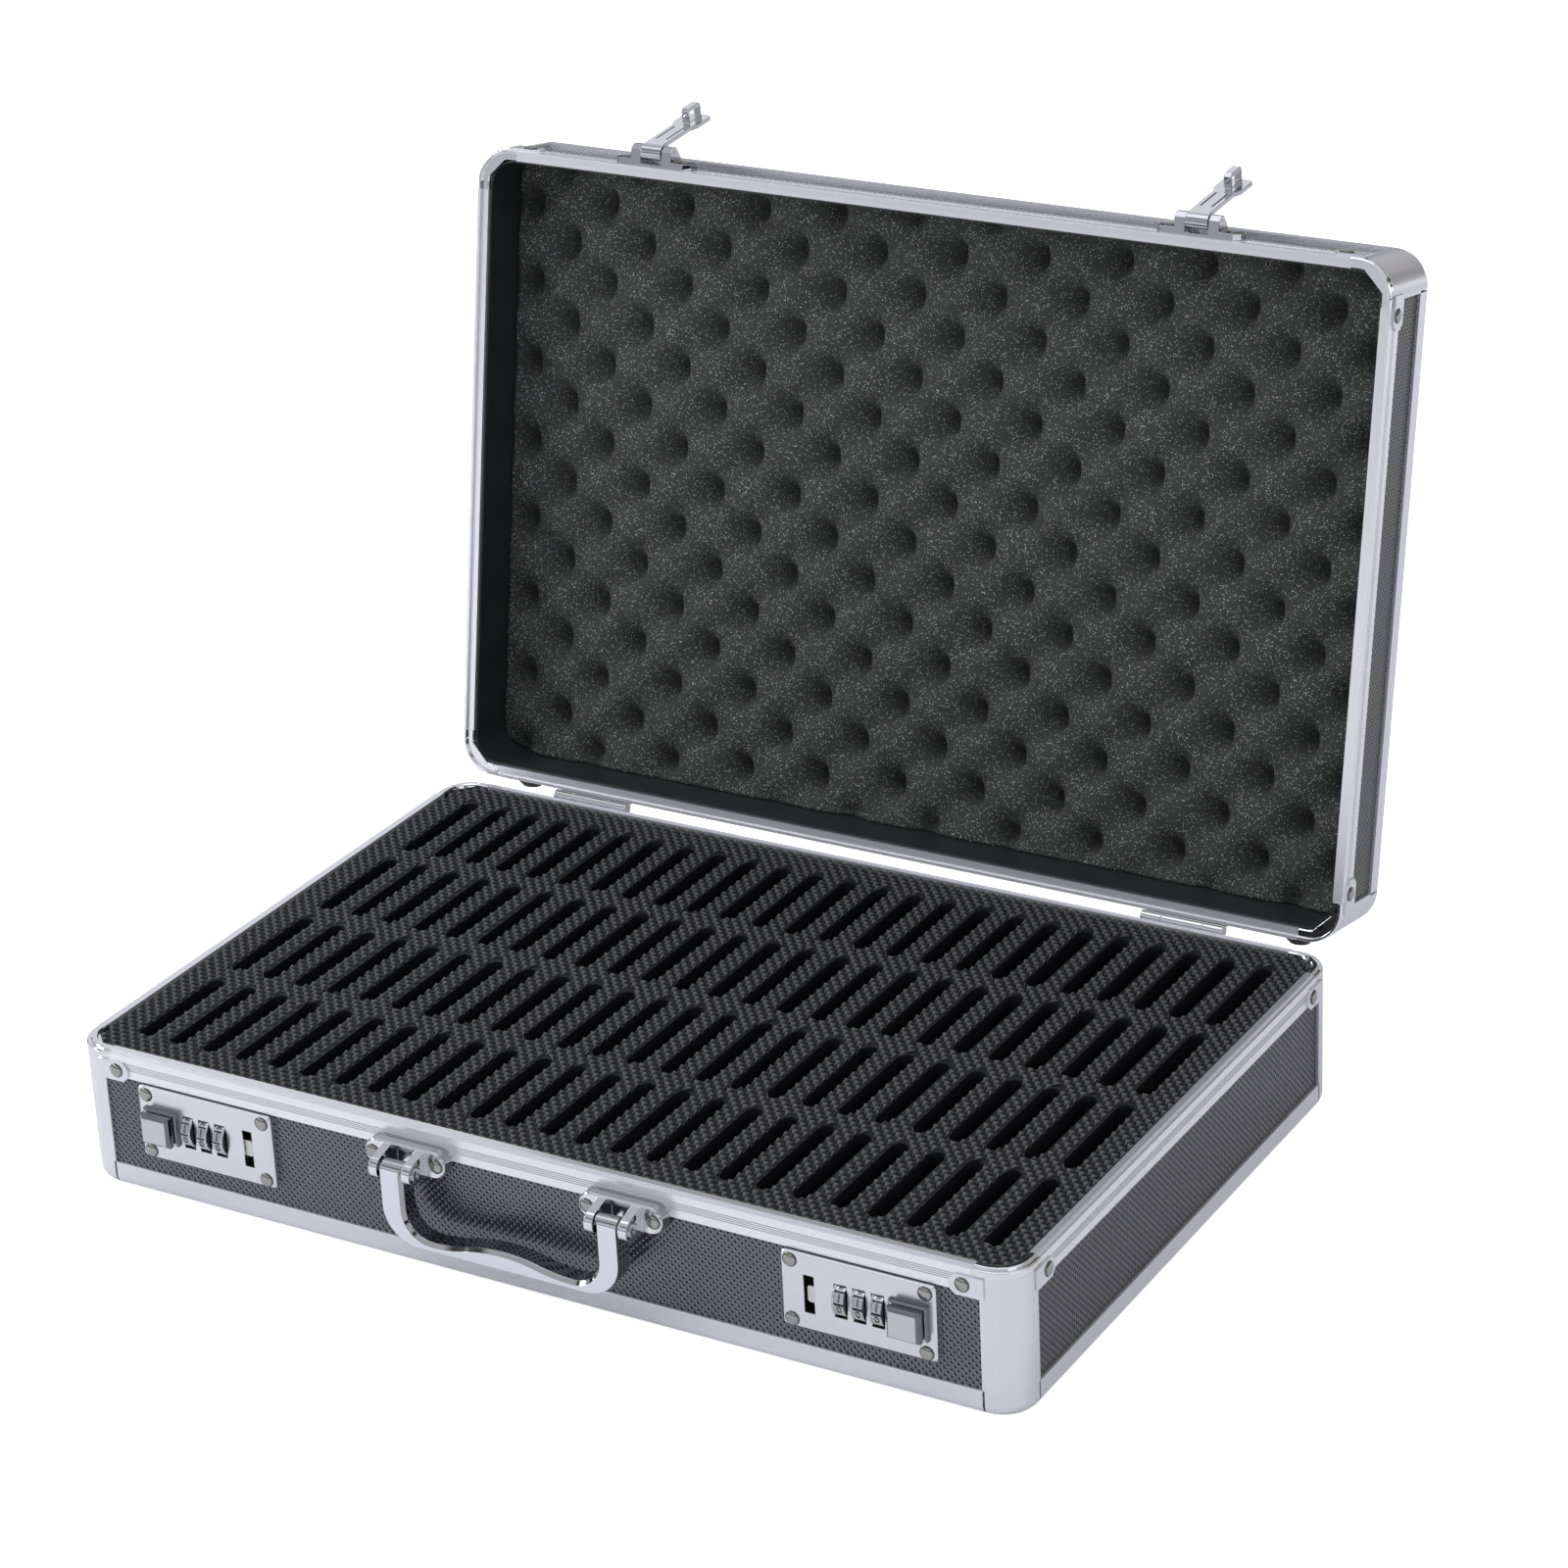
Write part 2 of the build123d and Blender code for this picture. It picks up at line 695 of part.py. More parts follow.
# Handle
def bracket():
    """Riveted bracket with two lugs, about its own middle at X = 0."""
    outline = Pos(0, -bracket_drop) * SlotOverall(bracket_length, bracket_height)
    pad = extrude(front_plane(0) * outline, bracket_front)
    pad = chamfer(pad.faces().sort_by(Axis.Y)[0].edges(), bracket_bevel)
    pad -= front_block(-lug_inner, lug_inner, bracket_pocket_top, 2 * bracket_drop,
                       bracket_pocket_floor, bracket_front + 1)
    nose = Pos(front_face - handle_axis_out, rim_plane - handle_axis_drop) * Circle(lug_radius)
    root_y = front_face - bracket_front + 2
    root_high = rim_plane - lug_root_top
    root_low = rim_plane - lug_root_bottom
    root = Polygon((root_y, root_low), (root_y - 1.6, root_low), (root_y - 1.6, root_high),
                   (root_y, root_high), align=None)
    side = make_hull((nose + root).edges())
    lug = extrude(Plane.YZ.offset(lug_inner) * side, lug_outer - lug_inner)
    pad += pair(lug)
    pad -= across(handle_pin_radius, 3 * lug_outer, 0, front_face - handle_axis_out,
                  rim_plane - handle_axis_drop)
    for x in (-bracket_rivet, bracket_rivet):
        pad -= on_front(x, bracket_drop, bracket_front) * shank_hole(bracket_front)
    return pad


def handle_pin():
    """Pin through both lugs with a cross-recessed head at its right end."""
    axis_y = front_face - handle_axis_out
    axis_z = rim_plane - handle_axis_drop
    pin = across(handle_pin_radius, 2 * lug_outer, 0, axis_y, axis_z)
    head = across(pin_head_radius, pin_head, lug_outer + pin_head / 2, axis_y, axis_z)
    depth_start = lug_outer + pin_head - cross_depth
    for wide, tall in ((cross_width, cross_length), (cross_length, cross_width)):
        head -= block(depth_start, lug_outer + pin_head + 1, axis_y - wide / 2, axis_y + wide / 2,
                      axis_z - tall / 2, axis_z + tall / 2)
    return pin + head


def handle():
    """Cast bail handle: flat legs and a deep, arched grip with bevelled edges."""
    inner = handle_half - leg_width
    top = -(handle_axis_drop - leg_radius)
    bottom = -handle_bottom
    turn = -(handle_bottom - handle_corner)
    corner_x = handle_half - handle_corner
    slant = handle_corner * sin(radians(45))
    lines = [Line((inner, top), (handle_half, top)), Line((handle_half, top), (handle_half, turn))]
    lines += [ThreePointArc((handle_half, turn), (corner_x + slant, turn - slant), (corner_x, bottom))]
    lines += [Line((corner_x, bottom), (-corner_x, bottom))]
    lines += [ThreePointArc((-corner_x, bottom), (-corner_x - slant, turn - slant), (-handle_half, turn))]
    lines += [Line((-handle_half, turn), (-handle_half, top)), Line((-handle_half, top), (-inner, top))]
    lines += [Line((-inner, top), (-inner, -leg_straight_end))]
    low = -leg_straight_end - grip_corner
    low_x = inner - grip_corner
    middle = ((-low_x / 2), (low - grip_middle) / 2)
    lines += [TangentArc((-inner, -leg_straight_end), (-low_x, low), tangent=(0, -1))]
    lines += [TangentArc((-low_x, low), middle, tangent=(1, 0))]
    lines += [TangentArc((0, -grip_middle), middle, tangent=(-1, 0))]
    lines += [mirror(line, Plane.YZ).edge() for line in lines[-3:]]
    lines += [Line((inner, -leg_straight_end), (inner, top))]
    outline = make_face([line.edge() for line in lines])
    front_out = handle_axis_out + leg_radius
    body = extrude(front_plane(handle_back) * outline, front_out - handle_back)
    inside = [edge for edge in body.edges() if abs(edge.center().X) < inner + 0.1]
    loops = [edge for edge in inside if edge.bounding_box().size.Y < 0.1]
    grip_edges = [edge for edge in loops if edge.center().Z > rim_plane - handle_bottom + 0.1]
    body = chamfer(grip_edges, handle_edge_bevel)
    axis_y = front_face - handle_axis_out
    axis_z = rim_plane - handle_axis_drop
    back_y = front_face - handle_back
    leg_y = axis_y + leg_radius
    low_z = rim_plane - handle_bottom
    side = Polygon((axis_y - leg_radius, axis_z), (axis_y - leg_radius, low_z), (back_y, low_z),
                   (back_y, low_z + heel_height), (leg_y, low_z + slope_height), (leg_y, axis_z),
                   align=None)
    side += Pos(axis_y, axis_z) * Circle(leg_radius)
    body &= extrude(Plane.YZ.offset(-handle_half) * side, 2 * handle_half)
    return body - across(handle_pin_radius + running_fit, 3 * handle_half, 0, axis_y, axis_z)


# Hinges, drawn about the hinge axis with X along it, for the closed lid
def hinge_leaf(side, knuckles):
    """One leaf: a riveted plate on the back of a rim, rolled into knuckles round the axis."""
    near_y = -hinge_out
    far_y = -hinge_out + leaf_thickness
    half = hinge_length / 2
    leaf = block(-half, half, near_y, far_y, side * leaf_near, side * leaf_far)
    for start, end in knuckles:
        middle = (start + end) / 2
        leaf += across(knuckle_radius, end - start, middle, 0, 0)
        leaf += block(start, end, -knuckle_radius, far_y, 0, side * (leaf_near + 0.5))
    leaf -= across(hinge_pin_radius + running_fit, 2 * hinge_length, 0, 0, 0)
    for x in (-hinge_rivet_x, hinge_rivet_x):
        leaf -= Pos(x, far_y, side * hinge_rivet_z) * Rot(-90, 0, 0) * shank_hole(leaf_thickness)
    return leaf


def hinge_rivets(side):
    far_y = -hinge_out + leaf_thickness
    head = rivet(small_rivet_radius, small_rivet_head, leaf_thickness)
    return [Pos(x, far_y, side * hinge_rivet_z) * Rot(-90, 0, 0) * head
            for x in (-hinge_rivet_x, hinge_rivet_x)]


def at_hinges(shapes):
    """Copies of hinge pieces at both hinges."""
    return [Pos(x, hinge_axis_y, rim_plane) * shape
            for x in (-hinge_centre, hinge_centre) for shape in shapes]


# Hasps, drawn for the closed lid
def lid_front(out):
    """Sketch plane on the lid's front: X across, Y up from the lid's rim plane."""
    return Plane(origin=(0, front_face - out, lid_plane), x_dir=(1, 0, 0), z_dir=(0, -1, 0))


def hasp_base():
    """Cast base with hexagonal ears and two cheeks for the lever's pin."""
    half = hasp_half
    ear = hasp_half - hasp_chamfer
    low = hasp_low + hasp_chamfer
    high = hasp_high - hasp_chamfer
    outline = Polygon((-half, low), (-ear, hasp_low), (ear, hasp_low), (half, low), (half, high),
                      (ear, hasp_high), (-ear, hasp_high), (-half, high), align=None)
    pad = extrude(lid_front(0) * outline, hasp_pad)
    pocket = Pos(0, hasp_axis_depth) * Rectangle(2 * cheek_inner, 2 * barrel_radius + 2.4)
    pad -= extrude(lid_front(hasp_pad_floor) * pocket, hasp_pad)
    bevel = 2.2
    root = front_face - hasp_pad + 0.5
    crown = front_face - cheek_out
    slope_low = lid_plane + hasp_low
    slope_high = lid_plane + hasp_axis_depth + barrel_radius
    side = Polygon((root, slope_low), (crown + bevel, slope_low), (crown, slope_low + bevel),
                   (crown, slope_high - bevel), (crown + bevel, slope_high),
                   (root, lid_plane + hasp_high), align=None)
    for x in (-cheek_outer, cheek_inner):
        pad += extrude(Plane.YZ.offset(x) * side, cheek_outer - cheek_inner, dir=(1, 0, 0))
    pad -= hasp_pin()
    for x in (-hasp_rivet, hasp_rivet):
        place = Pos(x, front_face - hasp_pad, lid_plane + hasp_rivet_depth) * Rot(90, 0, 0)
        pad -= place * shank_hole(hasp_pad)
    return pad


def hasp_pin():
    return across(hasp_pin_radius, 2 * cheek_outer, 0, front_face - hasp_axis_out,
                  lid_plane + hasp_axis_depth)


def hasp_rivets():
    places = [Pos(x, front_face - hasp_pad, lid_plane + hasp_rivet_depth) * Rot(90, 0, 0)
              for x in (-hasp_rivet, hasp_rivet)]
    return [place * rivet(rivet_radius * 0.9, rivet_head * 0.8, hasp_pad) for place in places]


def hasp_lever():
    """Lever with a barrel on its pin, a strap, a wider end plate and the loop that the bolt locks."""
    slope = radians(lever_rest_angle)
    along = (0, -sin(slope), cos(slope))
    proud = (0, -cos(slope), -sin(slope))
    pivot = (0, front_face - hasp_axis_out, lid_plane + hasp_axis_depth)
    side = Plane(origin=pivot, x_dir=along, z_dir=(1, 0, 0))
    flat = Plane(origin=pivot, x_dir=along, z_dir=proud)
    low = lever_face - lever_thickness
    barrel = extrude(side * Circle(barrel_radius), barrel_half, both=True)
    wing_start = loop_middle - loop_length / 2 - 4
    wing_end = loop_middle - loop_length / 2
    corner = 1.2
    outline = Polygon((0, -lever_half), (wing_start, -lever_half), (wing_end, -plate_half),
                      (lever_tip - corner, -plate_half), (lever_tip, corner - plate_half),
                      (lever_tip, plate_half - corner), (lever_tip - corner, plate_half),
                      (wing_end, plate_half), (wing_start, lever_half), (0, lever_half), align=None)
    strap = extrude(flat.offset(low) * outline, lever_thickness)
    for y in (-slit_offset, slit_offset):
        slit = Pos(wing_start / 2 + barrel_radius / 2 + 1, y) * Rectangle(wing_start - 8, slit_width)
        strap -= extrude(flat.offset(lever_face - slit_depth) * slit, slit_depth)
    half = loop_length / 2
    arch = Polygon((loop_middle - half, lever_face), (loop_middle - half, loop_top - loop_bevel),
                   (loop_middle - half + loop_bevel, loop_top), (loop_middle + half - loop_bevel, loop_top),
                   (loop_middle + half, loop_top - loop_bevel), (loop_middle + half, lever_face), align=None)
    hole_top = loop_top - loop_bar
    hole_low = lever_face + 0.2
    arch -= Pos(loop_middle, (hole_top + hole_low) / 2) * Rectangle(loop_opening, hole_top - hole_low)
    loop = extrude(side * arch, loop_half, both=True)
    lever = barrel + strap + loop
    return lever - extrude(side * Circle(hasp_pin_radius + running_fit), lever_tip, both=True)


# Lid inside
def lid_lining():
    """Thin tray of black lining with rounded inner corners, in the tray frame."""
    width = case_width - 2 * (wall + foam_fit)
    depth = case_depth - 2 * (wall + foam_fit)
    floor = -lid_height + wall
    skin = extrude(Pos(0, 0, floor) * RectangleRounded(width, depth, lining_radius), -floor - lining_edge)
    slim = 2 * lining_thickness
    inside = RectangleRounded(width - slim, depth - slim, lining_radius - lining_thickness)
    return skin - extrude(Pos(0, 0, floor + lining_thickness) * inside, -floor)


def egg_crate_foam():
    """Foam sheet with staggered rows of blunt humps, in the tray frame."""
    floor = -lid_height + wall + lining_thickness
    inset = 2 * (wall + foam_fit + lining_thickness + crate_margin)
    width = case_width - inset
    depth = case_depth - inset
    sheet = extrude(Pos(0, 0, floor) * RectangleRounded(width, depth, lining_radius), crate_sheet)
    humps = []
    columns = int(width / crate_pitch_x)
    rows = int(depth / (crate_pitch_y / 2))
    slope = degrees(atan2((crate_foot - crate_crest) / 2, crate_rise))
    for row in range(rows):
        y = (row - (rows - 1) / 2) * crate_pitch_y / 2
        shift = crate_pitch_x / 2 * (row % 2)
        for column in range(columns - row % 2):
            x = (column - (columns - 1) / 2) * crate_pitch_x + shift
            foot = Pos(x, y, floor + crate_sheet) * Rot(0, 0, 45) * Rectangle(crate_foot, crate_foot)
            humps.append(extrude(foot, crate_rise, taper=slope))
    return sheet + humps


def rear_foot():
    """Rubber foot standing on Z = 0, narrowing at its end."""
    edge = foot_height - foot_edge
    crown = dome(foot_radius, foot_radius - foot_edge, foot_sides, edge, foot_height)
    return round_bar(foot_radius, foot_sides, 0, edge) + crown


base = tray(base_height, base_shoulder, base_tongue_rise,
            (base_rivet_front, base_rivet_side, base_rivet_drop))
lid = tray(lid_height, lid_shoulder, -lid_recess, (lid_rivet_front, lid_rivet_side, lid_rivet_drop))

# The tray frame is turned over for the lid, and the closed lid is then swung open about the hinge
base_place = Pos(0, 0, rim_plane)
to_closed = Pos(0, 0, lid_plane) * Rot(0, 180, 0)
swing = Pos(0, hinge_axis_y, rim_plane) * Rot(-lid_open_angle, 0, 0) * Pos(0, -hinge_axis_y, -rim_plane)

nodes = {}
for name, shapes in base.items():
    nodes["base_" + name] = [base_place * shape for shape in shapes]
for name, shapes in lid.items():
    nodes["lid_" + name] = [swing * to_closed * shape for shape in shapes]

# The bottom board is rebated into the extrusions, so that its middle lies flush with them
rebate = 2 * (edge_size + floor_fit)
corner_room = 2 * (corner_radius + post_reach + floor_fit)
field = Rectangle(case_width - rebate, case_depth - corner_room)
field += Rectangle(case_width - corner_room, case_depth - rebate)
nodes["base_floor_panel"][0] += extrude(field, flange_outer)

lock_hole = front_block(pocket_left, pocket_right, pocket_top, pocket_bottom,
                        -panel_back - 1, -flange_outer + 1)
for cut in pair(lock_hole):
    nodes["base_front_panel"][0] -= cut

nodes["slab_foam_fins"] = foam_fins()
nodes["slab_foam_bars"] = foam_bars()
nodes["foam_floor_pad"] = [foam_pad()]

nodes["lock_plates"] = pair(lock_plate())
nodes["lock_housings"] = pair(lock_housing())
nodes["dial_shafts"] = pair(dial_shaft())
lock_rivet = rivet(rivet_radius, rivet_head, lock_front + flange_outer)
nodes["lock_rivets"] = [copy for x, drop in lock_rivet_places()
                        for copy in pair(on_front(x, drop, lock_front) * lock_rivet)]
for number, x in enumerate(dial_centres, 1):
    right_dial, left_dial = pair(number_dial(x))
    nodes["right_dial_" + str(number)] = [right_dial]
    nodes["left_dial_" + str(number)] = [left_dial]
for label, shape in (("lock_button", lock_button()), ("latch_slider", latch_slider())):
    right_copy, left_copy = pair(shape)
    nodes[label + "_right"] = [right_copy]
    nodes[label + "_left"] = [left_copy]

bracket_rivet_solid = rivet(rivet_radius, rivet_head, bracket_front)
nodes["handle"] = [handle()]
nodes["handle_bracket_left"] = [Pos(-bracket_centre, 0, 0) * bracket()]
nodes["handle_bracket_right"] = [Pos(bracket_centre, 0, 0) * bracket()]
nodes["handle_pins"] = [Pos(x, 0, 0) * handle_pin() for x in (-bracket_centre, bracket_centre)]
nodes["bracket_rivets"] = [on_front(x + side * bracket_rivet, bracket_drop, bracket_front)
                           * bracket_rivet_solid
                           for x in (-bracket_centre, bracket_centre) for side in (-1, 1)]

half_length = hinge_length / 2
middle_edge = half_length - knuckle_end
outer_knuckles = ((-half_length, -middle_edge - knuckle_gap), (middle_edge + knuckle_gap, half_length))
middle_knuckle = ((-middle_edge + knuckle_gap, middle_edge - knuckle_gap),)
nodes["hinge_base_leaves"] = at_hinges([hinge_leaf(-1, outer_knuckles)])
nodes["hinge_pins"] = at_hinges([across(hinge_pin_radius, hinge_length, 0, 0, 0)])
nodes["hinge_base_rivets"] = at_hinges(hinge_rivets(-1))
nodes["hinge_lid_leaves"] = [swing * leaf for leaf in at_hinges([hinge_leaf(1, middle_knuckle)])]
nodes["hinge_lid_rivets"] = [swing * head for head in at_hinges(hinge_rivets(1))]

nodes["lid_lining"] = [swing * to_closed * lid_lining()]
nodes["egg_crate_foam"] = [swing * to_closed * egg_crate_foam()]
for side, label in ((-1, "left"), (1, "right")):
    nodes["hasp_lever_" + label] = [swing * Pos(side * hasp_centre, 0, 0) * hasp_lever()]
hasp_places = [swing * Pos(x, 0, 0) for x in (-hasp_centre, hasp_centre)]
nodes["hasp_bases"] = [place * hasp_base() for place in hasp_places]
nodes["hasp_pins"] = [place * hasp_pin() for place in hasp_places]
nodes["hasp_rivets"] = [place * head for place in hasp_places for head in hasp_rivets()]

back_panel_face = back_face - flange_outer
nodes["base_rear_feet"] = [Pos(x, back_panel_face, rim_plane - base_foot_drop) * Rot(-90, 0, 0)
                           * rear_foot() for x in (-foot_x, foot_x)]
nodes["lid_rear_feet"] = [swing * Pos(x, back_panel_face, lid_plane + lid_foot_depth)
                          * Rot(-90, 0, 0) * rear_foot() for x in (-foot_x, foot_x)]

os.makedirs("parts", exist_ok=True)
for name, shapes in nodes.items():
    write(name, shapes)
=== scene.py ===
import math

import bmesh
import bpy
from mathutils import Matrix, Vector


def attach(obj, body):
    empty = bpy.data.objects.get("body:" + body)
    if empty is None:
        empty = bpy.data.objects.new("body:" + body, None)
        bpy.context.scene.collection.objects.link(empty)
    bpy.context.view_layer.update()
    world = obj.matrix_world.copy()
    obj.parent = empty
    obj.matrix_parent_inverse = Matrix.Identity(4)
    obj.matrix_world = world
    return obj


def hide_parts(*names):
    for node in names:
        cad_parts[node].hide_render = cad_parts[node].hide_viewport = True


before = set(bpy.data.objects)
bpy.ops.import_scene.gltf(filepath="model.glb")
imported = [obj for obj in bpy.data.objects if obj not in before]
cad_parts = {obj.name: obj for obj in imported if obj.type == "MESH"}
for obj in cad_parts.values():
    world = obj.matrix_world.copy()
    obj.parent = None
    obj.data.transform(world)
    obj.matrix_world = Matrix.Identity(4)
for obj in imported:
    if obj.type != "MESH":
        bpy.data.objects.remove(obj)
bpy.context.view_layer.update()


# Embossed panels
# Thin boards faced with a dark grey sheet, embossed with staggered raised dots on fine diagonal
# ridges. They are slid into the slots of the extrusions before the frame is riveted together.
def new_group(name, inputs, outputs):
    """Empty shader group with named sockets; returns the group, its input node and its output node."""
    group = bpy.data.node_groups.new(name, "ShaderNodeTree")
    for label, kind, value in inputs:
        socket = group.interface.new_socket(label, in_out="INPUT", socket_type=kind)
        if value is not None:
            socket.default_value = value
    for label, kind in outputs:
        group.interface.new_socket(label, in_out="OUTPUT", socket_type=kind)
    return group, group.nodes.new("NodeGroupInput"), group.nodes.new("NodeGroupOutput")


def math_node(tree, operation, first, second=None, third=None):
    """One math node; numbers are set on its sockets and sockets are linked to them."""
    node = tree.nodes.new("ShaderNodeMath")
    node.operation = operation
    for index, value in enumerate((first, second, third)):
        if value is None:
            continue
        if isinstance(value, (int, float)):
            node.inputs[index].default_value = value
        else:
            tree.links.new(value, node.inputs[index])
    return node.outputs[0]


def new_material(name, colour, metallic, roughness):
    """Principled material; returns it with its node tree and its Principled node."""
    material = bpy.data.materials.new(name)
    material.use_nodes = True
    shader = material.node_tree.nodes["Principled BSDF"]
    shader.inputs["Base Color"].default_value = (*colour, 1)
    shader.inputs["Metallic"].default_value = metallic
    shader.inputs["Roughness"].default_value = roughness
    return material, material.node_tree, shader


def use_material(names, material):
    """Gives CAD nodes a material."""
    for name in names:
        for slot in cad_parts[name].material_slots:
            slot.material = material


def use_group(tree, group):
    """Places a shader group in a material."""
    node = tree.nodes.new("ShaderNodeGroup")
    node.node_tree = group
    return node


def colour_mix(tree, first, second, share):
    """Colour between two others; each is a plain colour or a socket, and the share is a socket."""
    node = tree.nodes.new("ShaderNodeMix")
    node.data_type = "RGBA"
    for label, colour in (("A", first), ("B", second)):
        if isinstance(colour, tuple):
            node.inputs[label].default_value = (*colour, 1)
        else:
            tree.links.new(colour, node.inputs[label])
    tree.links.new(share, node.inputs["Factor"])
    return node.outputs["Result"]


def share_between(tree, value, low, high, interpolation="LINEAR"):
    """Share from 0 to 1 of the way that a value has gone between two limits."""
    node = tree.nodes.new("ShaderNodeMapRange")
    node.interpolation_type = interpolation
    node.inputs["From Min"].default_value = low
    node.inputs["From Max"].default_value = high
    tree.links.new(value, node.inputs["Value"])
    return node.outputs["Result"]


def turned_axes(tree, turn, shift):
    """Coordinates of the closed case, X, Y and Z, for a part that stands turned about X."""
    place = tree.nodes.new("ShaderNodeTexCoord")
    mapping = tree.nodes.new("ShaderNodeMapping")
    mapping.inputs["Rotation"].default_value = (turn, 0, 0)
    mapping.inputs["Location"].default_value = shift
    tree.links.new(place.outputs["Object"], mapping.inputs["Vector"])
    split = tree.nodes.new("ShaderNodeSeparateXYZ")
    tree.links.new(mapping.outputs["Vector"], split.inputs[0])
    return split.outputs


emboss, emboss_in, emboss_out = new_group(
    "diamond_emboss",
    [("Across", "NodeSocketFloat", 0.0), ("Up", "NodeSocketFloat", 0.0),
     ("Column pitch", "NodeSocketFloat", 0.00323), ("Row pitch", "NodeSocketFloat", 0.00167),
     ("Dot size", "NodeSocketFloat", 0.27), ("Shadow drop", "NodeSocketFloat", 0.75)],
    [("Height", "NodeSocketFloat"), ("Shadow", "NodeSocketFloat")])


def lattice_distance(across, up, column_pitch, row_pitch):
    """Distances to the two families of diagonal lattice lines, in cells."""
    along = math_node(emboss, "DIVIDE", across, column_pitch)
    rows = math_node(emboss, "DIVIDE", up, row_pitch)
    half_rows = math_node(emboss, "MULTIPLY", rows, 0.5)
    result = []
    for operation in ("ADD", "SUBTRACT"):
        cell = math_node(emboss, operation, along, half_rows)
        result.append(math_node(emboss, "PINGPONG", cell, 0.5))
    return result


def round_spots(first, second, size):
    """Domes of a given size on the lattice's crossings, 1 at their middle."""
    squares = [math_node(emboss, "POWER", distance, 2.0) for distance in (first, second)]
    reach = math_node(emboss, "DIVIDE", math_node(emboss, "ADD", *squares),
                      math_node(emboss, "POWER", size, 2.0))
    return math_node(emboss, "MAXIMUM", math_node(emboss, "SUBTRACT", 1.0, reach), 0.0)


first, second = lattice_distance(emboss_in.outputs["Across"], emboss_in.outputs["Up"],
                                 emboss_in.outputs["Column pitch"], emboss_in.outputs["Row pitch"])
dot = round_spots(first, second, emboss_in.outputs["Dot size"])
ridge = math_node(emboss, "SUBTRACT", 0.5, math_node(emboss, "MINIMUM", first, second))
height = math_node(emboss, "ADD", dot, math_node(emboss, "MULTIPLY", ridge, 0.5))
emboss.links.new(height, emboss_out.inputs["Height"])
# The Shadow output is a painted shadow: a spot a little below and beside each dot, where its shade would
# fall.
row_drop = math_node(emboss, "MULTIPLY", emboss_in.outputs["Shadow drop"], emboss_in.outputs["Row pitch"])
lowered = math_node(emboss, "ADD", emboss_in.outputs["Up"], row_drop)
sideways = math_node(emboss, "SUBTRACT", emboss_in.outputs["Across"],
                     math_node(emboss, "MULTIPLY", row_drop, 0.3))
first, second = lattice_distance(sideways, lowered, emboss_in.outputs["Column pitch"],
                                 emboss_in.outputs["Row pitch"])
spot = round_spots(first, second, emboss_in.outputs["Dot size"])
emboss.links.new(math_node(emboss, "MINIMUM", math_node(emboss, "MULTIPLY", spot, 1.8), 1.0),
                 emboss_out.inputs["Shadow"])

lid_open = math.radians(100.36)
film_grey = (0.158, 0.156, 0.182)
painted_shadow_black = (0.006, 0.006, 0.008)
# Painted shade: the side panels get a darker grey; the real film is the same all round.
film_grey_with_side_shade = (0.100, 0.098, 0.110)
painted_sheen_grey = (0.42, 0.42, 0.44)
panel_faces = {
    "front_back": (("front_panel", "back_panel"), "X", "Z", film_grey),
    "sides": (("left_panel", "right_panel"), "Y", "Z", film_grey_with_side_shade),
    "flat": (("floor_panel",), "X", "Y", film_grey),
}
for part, turn in (("base", 0.0), ("lid", lid_open)):
    for face, (panels, across_axis, up_axis, film) in panel_faces.items():
        material, tree, shader = new_material("embossed_" + part + "_" + face, film, 0.85, 0.17)
        axes = turned_axes(tree, turn, (0, 0, 0))
        pattern = use_group(tree, emboss)
        tree.links.new(axes[across_axis], pattern.inputs["Across"])
        tree.links.new(axes[up_axis], pattern.inputs["Up"])
        bump = tree.nodes.new("ShaderNodeBump")
        bump.inputs["Strength"].default_value = 1.0
        bump.inputs["Distance"].default_value = 0.0004
        tree.links.new(pattern.outputs["Height"], bump.inputs["Height"])
        tree.links.new(bump.outputs["Normal"], shader.inputs["Normal"])
        # Painted sheen: where the film is seen at a glancing angle its colour is lightened towards a pale
        # grey.
        glancing = tree.nodes.new("ShaderNodeLayerWeight")
        glancing_sheen_share = share_between(tree, glancing.outputs["Facing"], 0.74, 0.84)
        painted_sheen = colour_mix(tree, film, painted_sheen_grey, glancing_sheen_share)
        # Painted shadow: in the spot beside each dot the film is coloured near black and loses its metal and
        # gloss.
        shaded = colour_mix(tree, painted_sheen, painted_shadow_black, pattern.outputs["Shadow"])
        tree.links.new(shaded, shader.inputs["Base Color"])
        outside_painted_shadow = math_node(tree, "SUBTRACT", 1.0, pattern.outputs["Shadow"])
        tree.links.new(math_node(tree, "MULTIPLY", outside_painted_shadow, 0.85), shader.inputs["Metallic"])
        tree.links.new(math_node(tree, "MULTIPLY", outside_painted_shadow, 0.5), shader.inputs["Specular IOR Level"])
        use_material([part + "_" + panel for panel in panels], material)


# Aluminium frame
# Satin anodised extrusions: grooved rim bands, rounded edge strips, quarter-round corner posts and
# pressed corner caps. They grip the panels, and the tabs of the posts are riveted over the rims.
grain, grain_in, grain_out = new_group(
    "metal_grain",
    [("Roughness", "NodeSocketFloat", 0.3), ("Spread", "NodeSocketFloat", 0.08),
     ("Edge radius", "NodeSocketFloat", 0.0003)],
    [("Roughness", "NodeSocketFloat"), ("Normal", "NodeSocketVector")])
place = grain.nodes.new("ShaderNodeTexCoord")
noise = grain.nodes.new("ShaderNodeTexNoise")
noise.inputs["Scale"].default_value = 900.0
noise.inputs["Detail"].default_value = 3.0
grain.links.new(place.outputs["Object"], noise.inputs["Vector"])
centred = math_node(grain, "SUBTRACT", noise.outputs["Fac"], 0.5)
spread = math_node(grain, "MULTIPLY", centred, grain_in.outputs["Spread"])
grain.links.new(math_node(grain, "ADD", spread, grain_in.outputs["Roughness"]), grain_out.inputs["Roughness"])
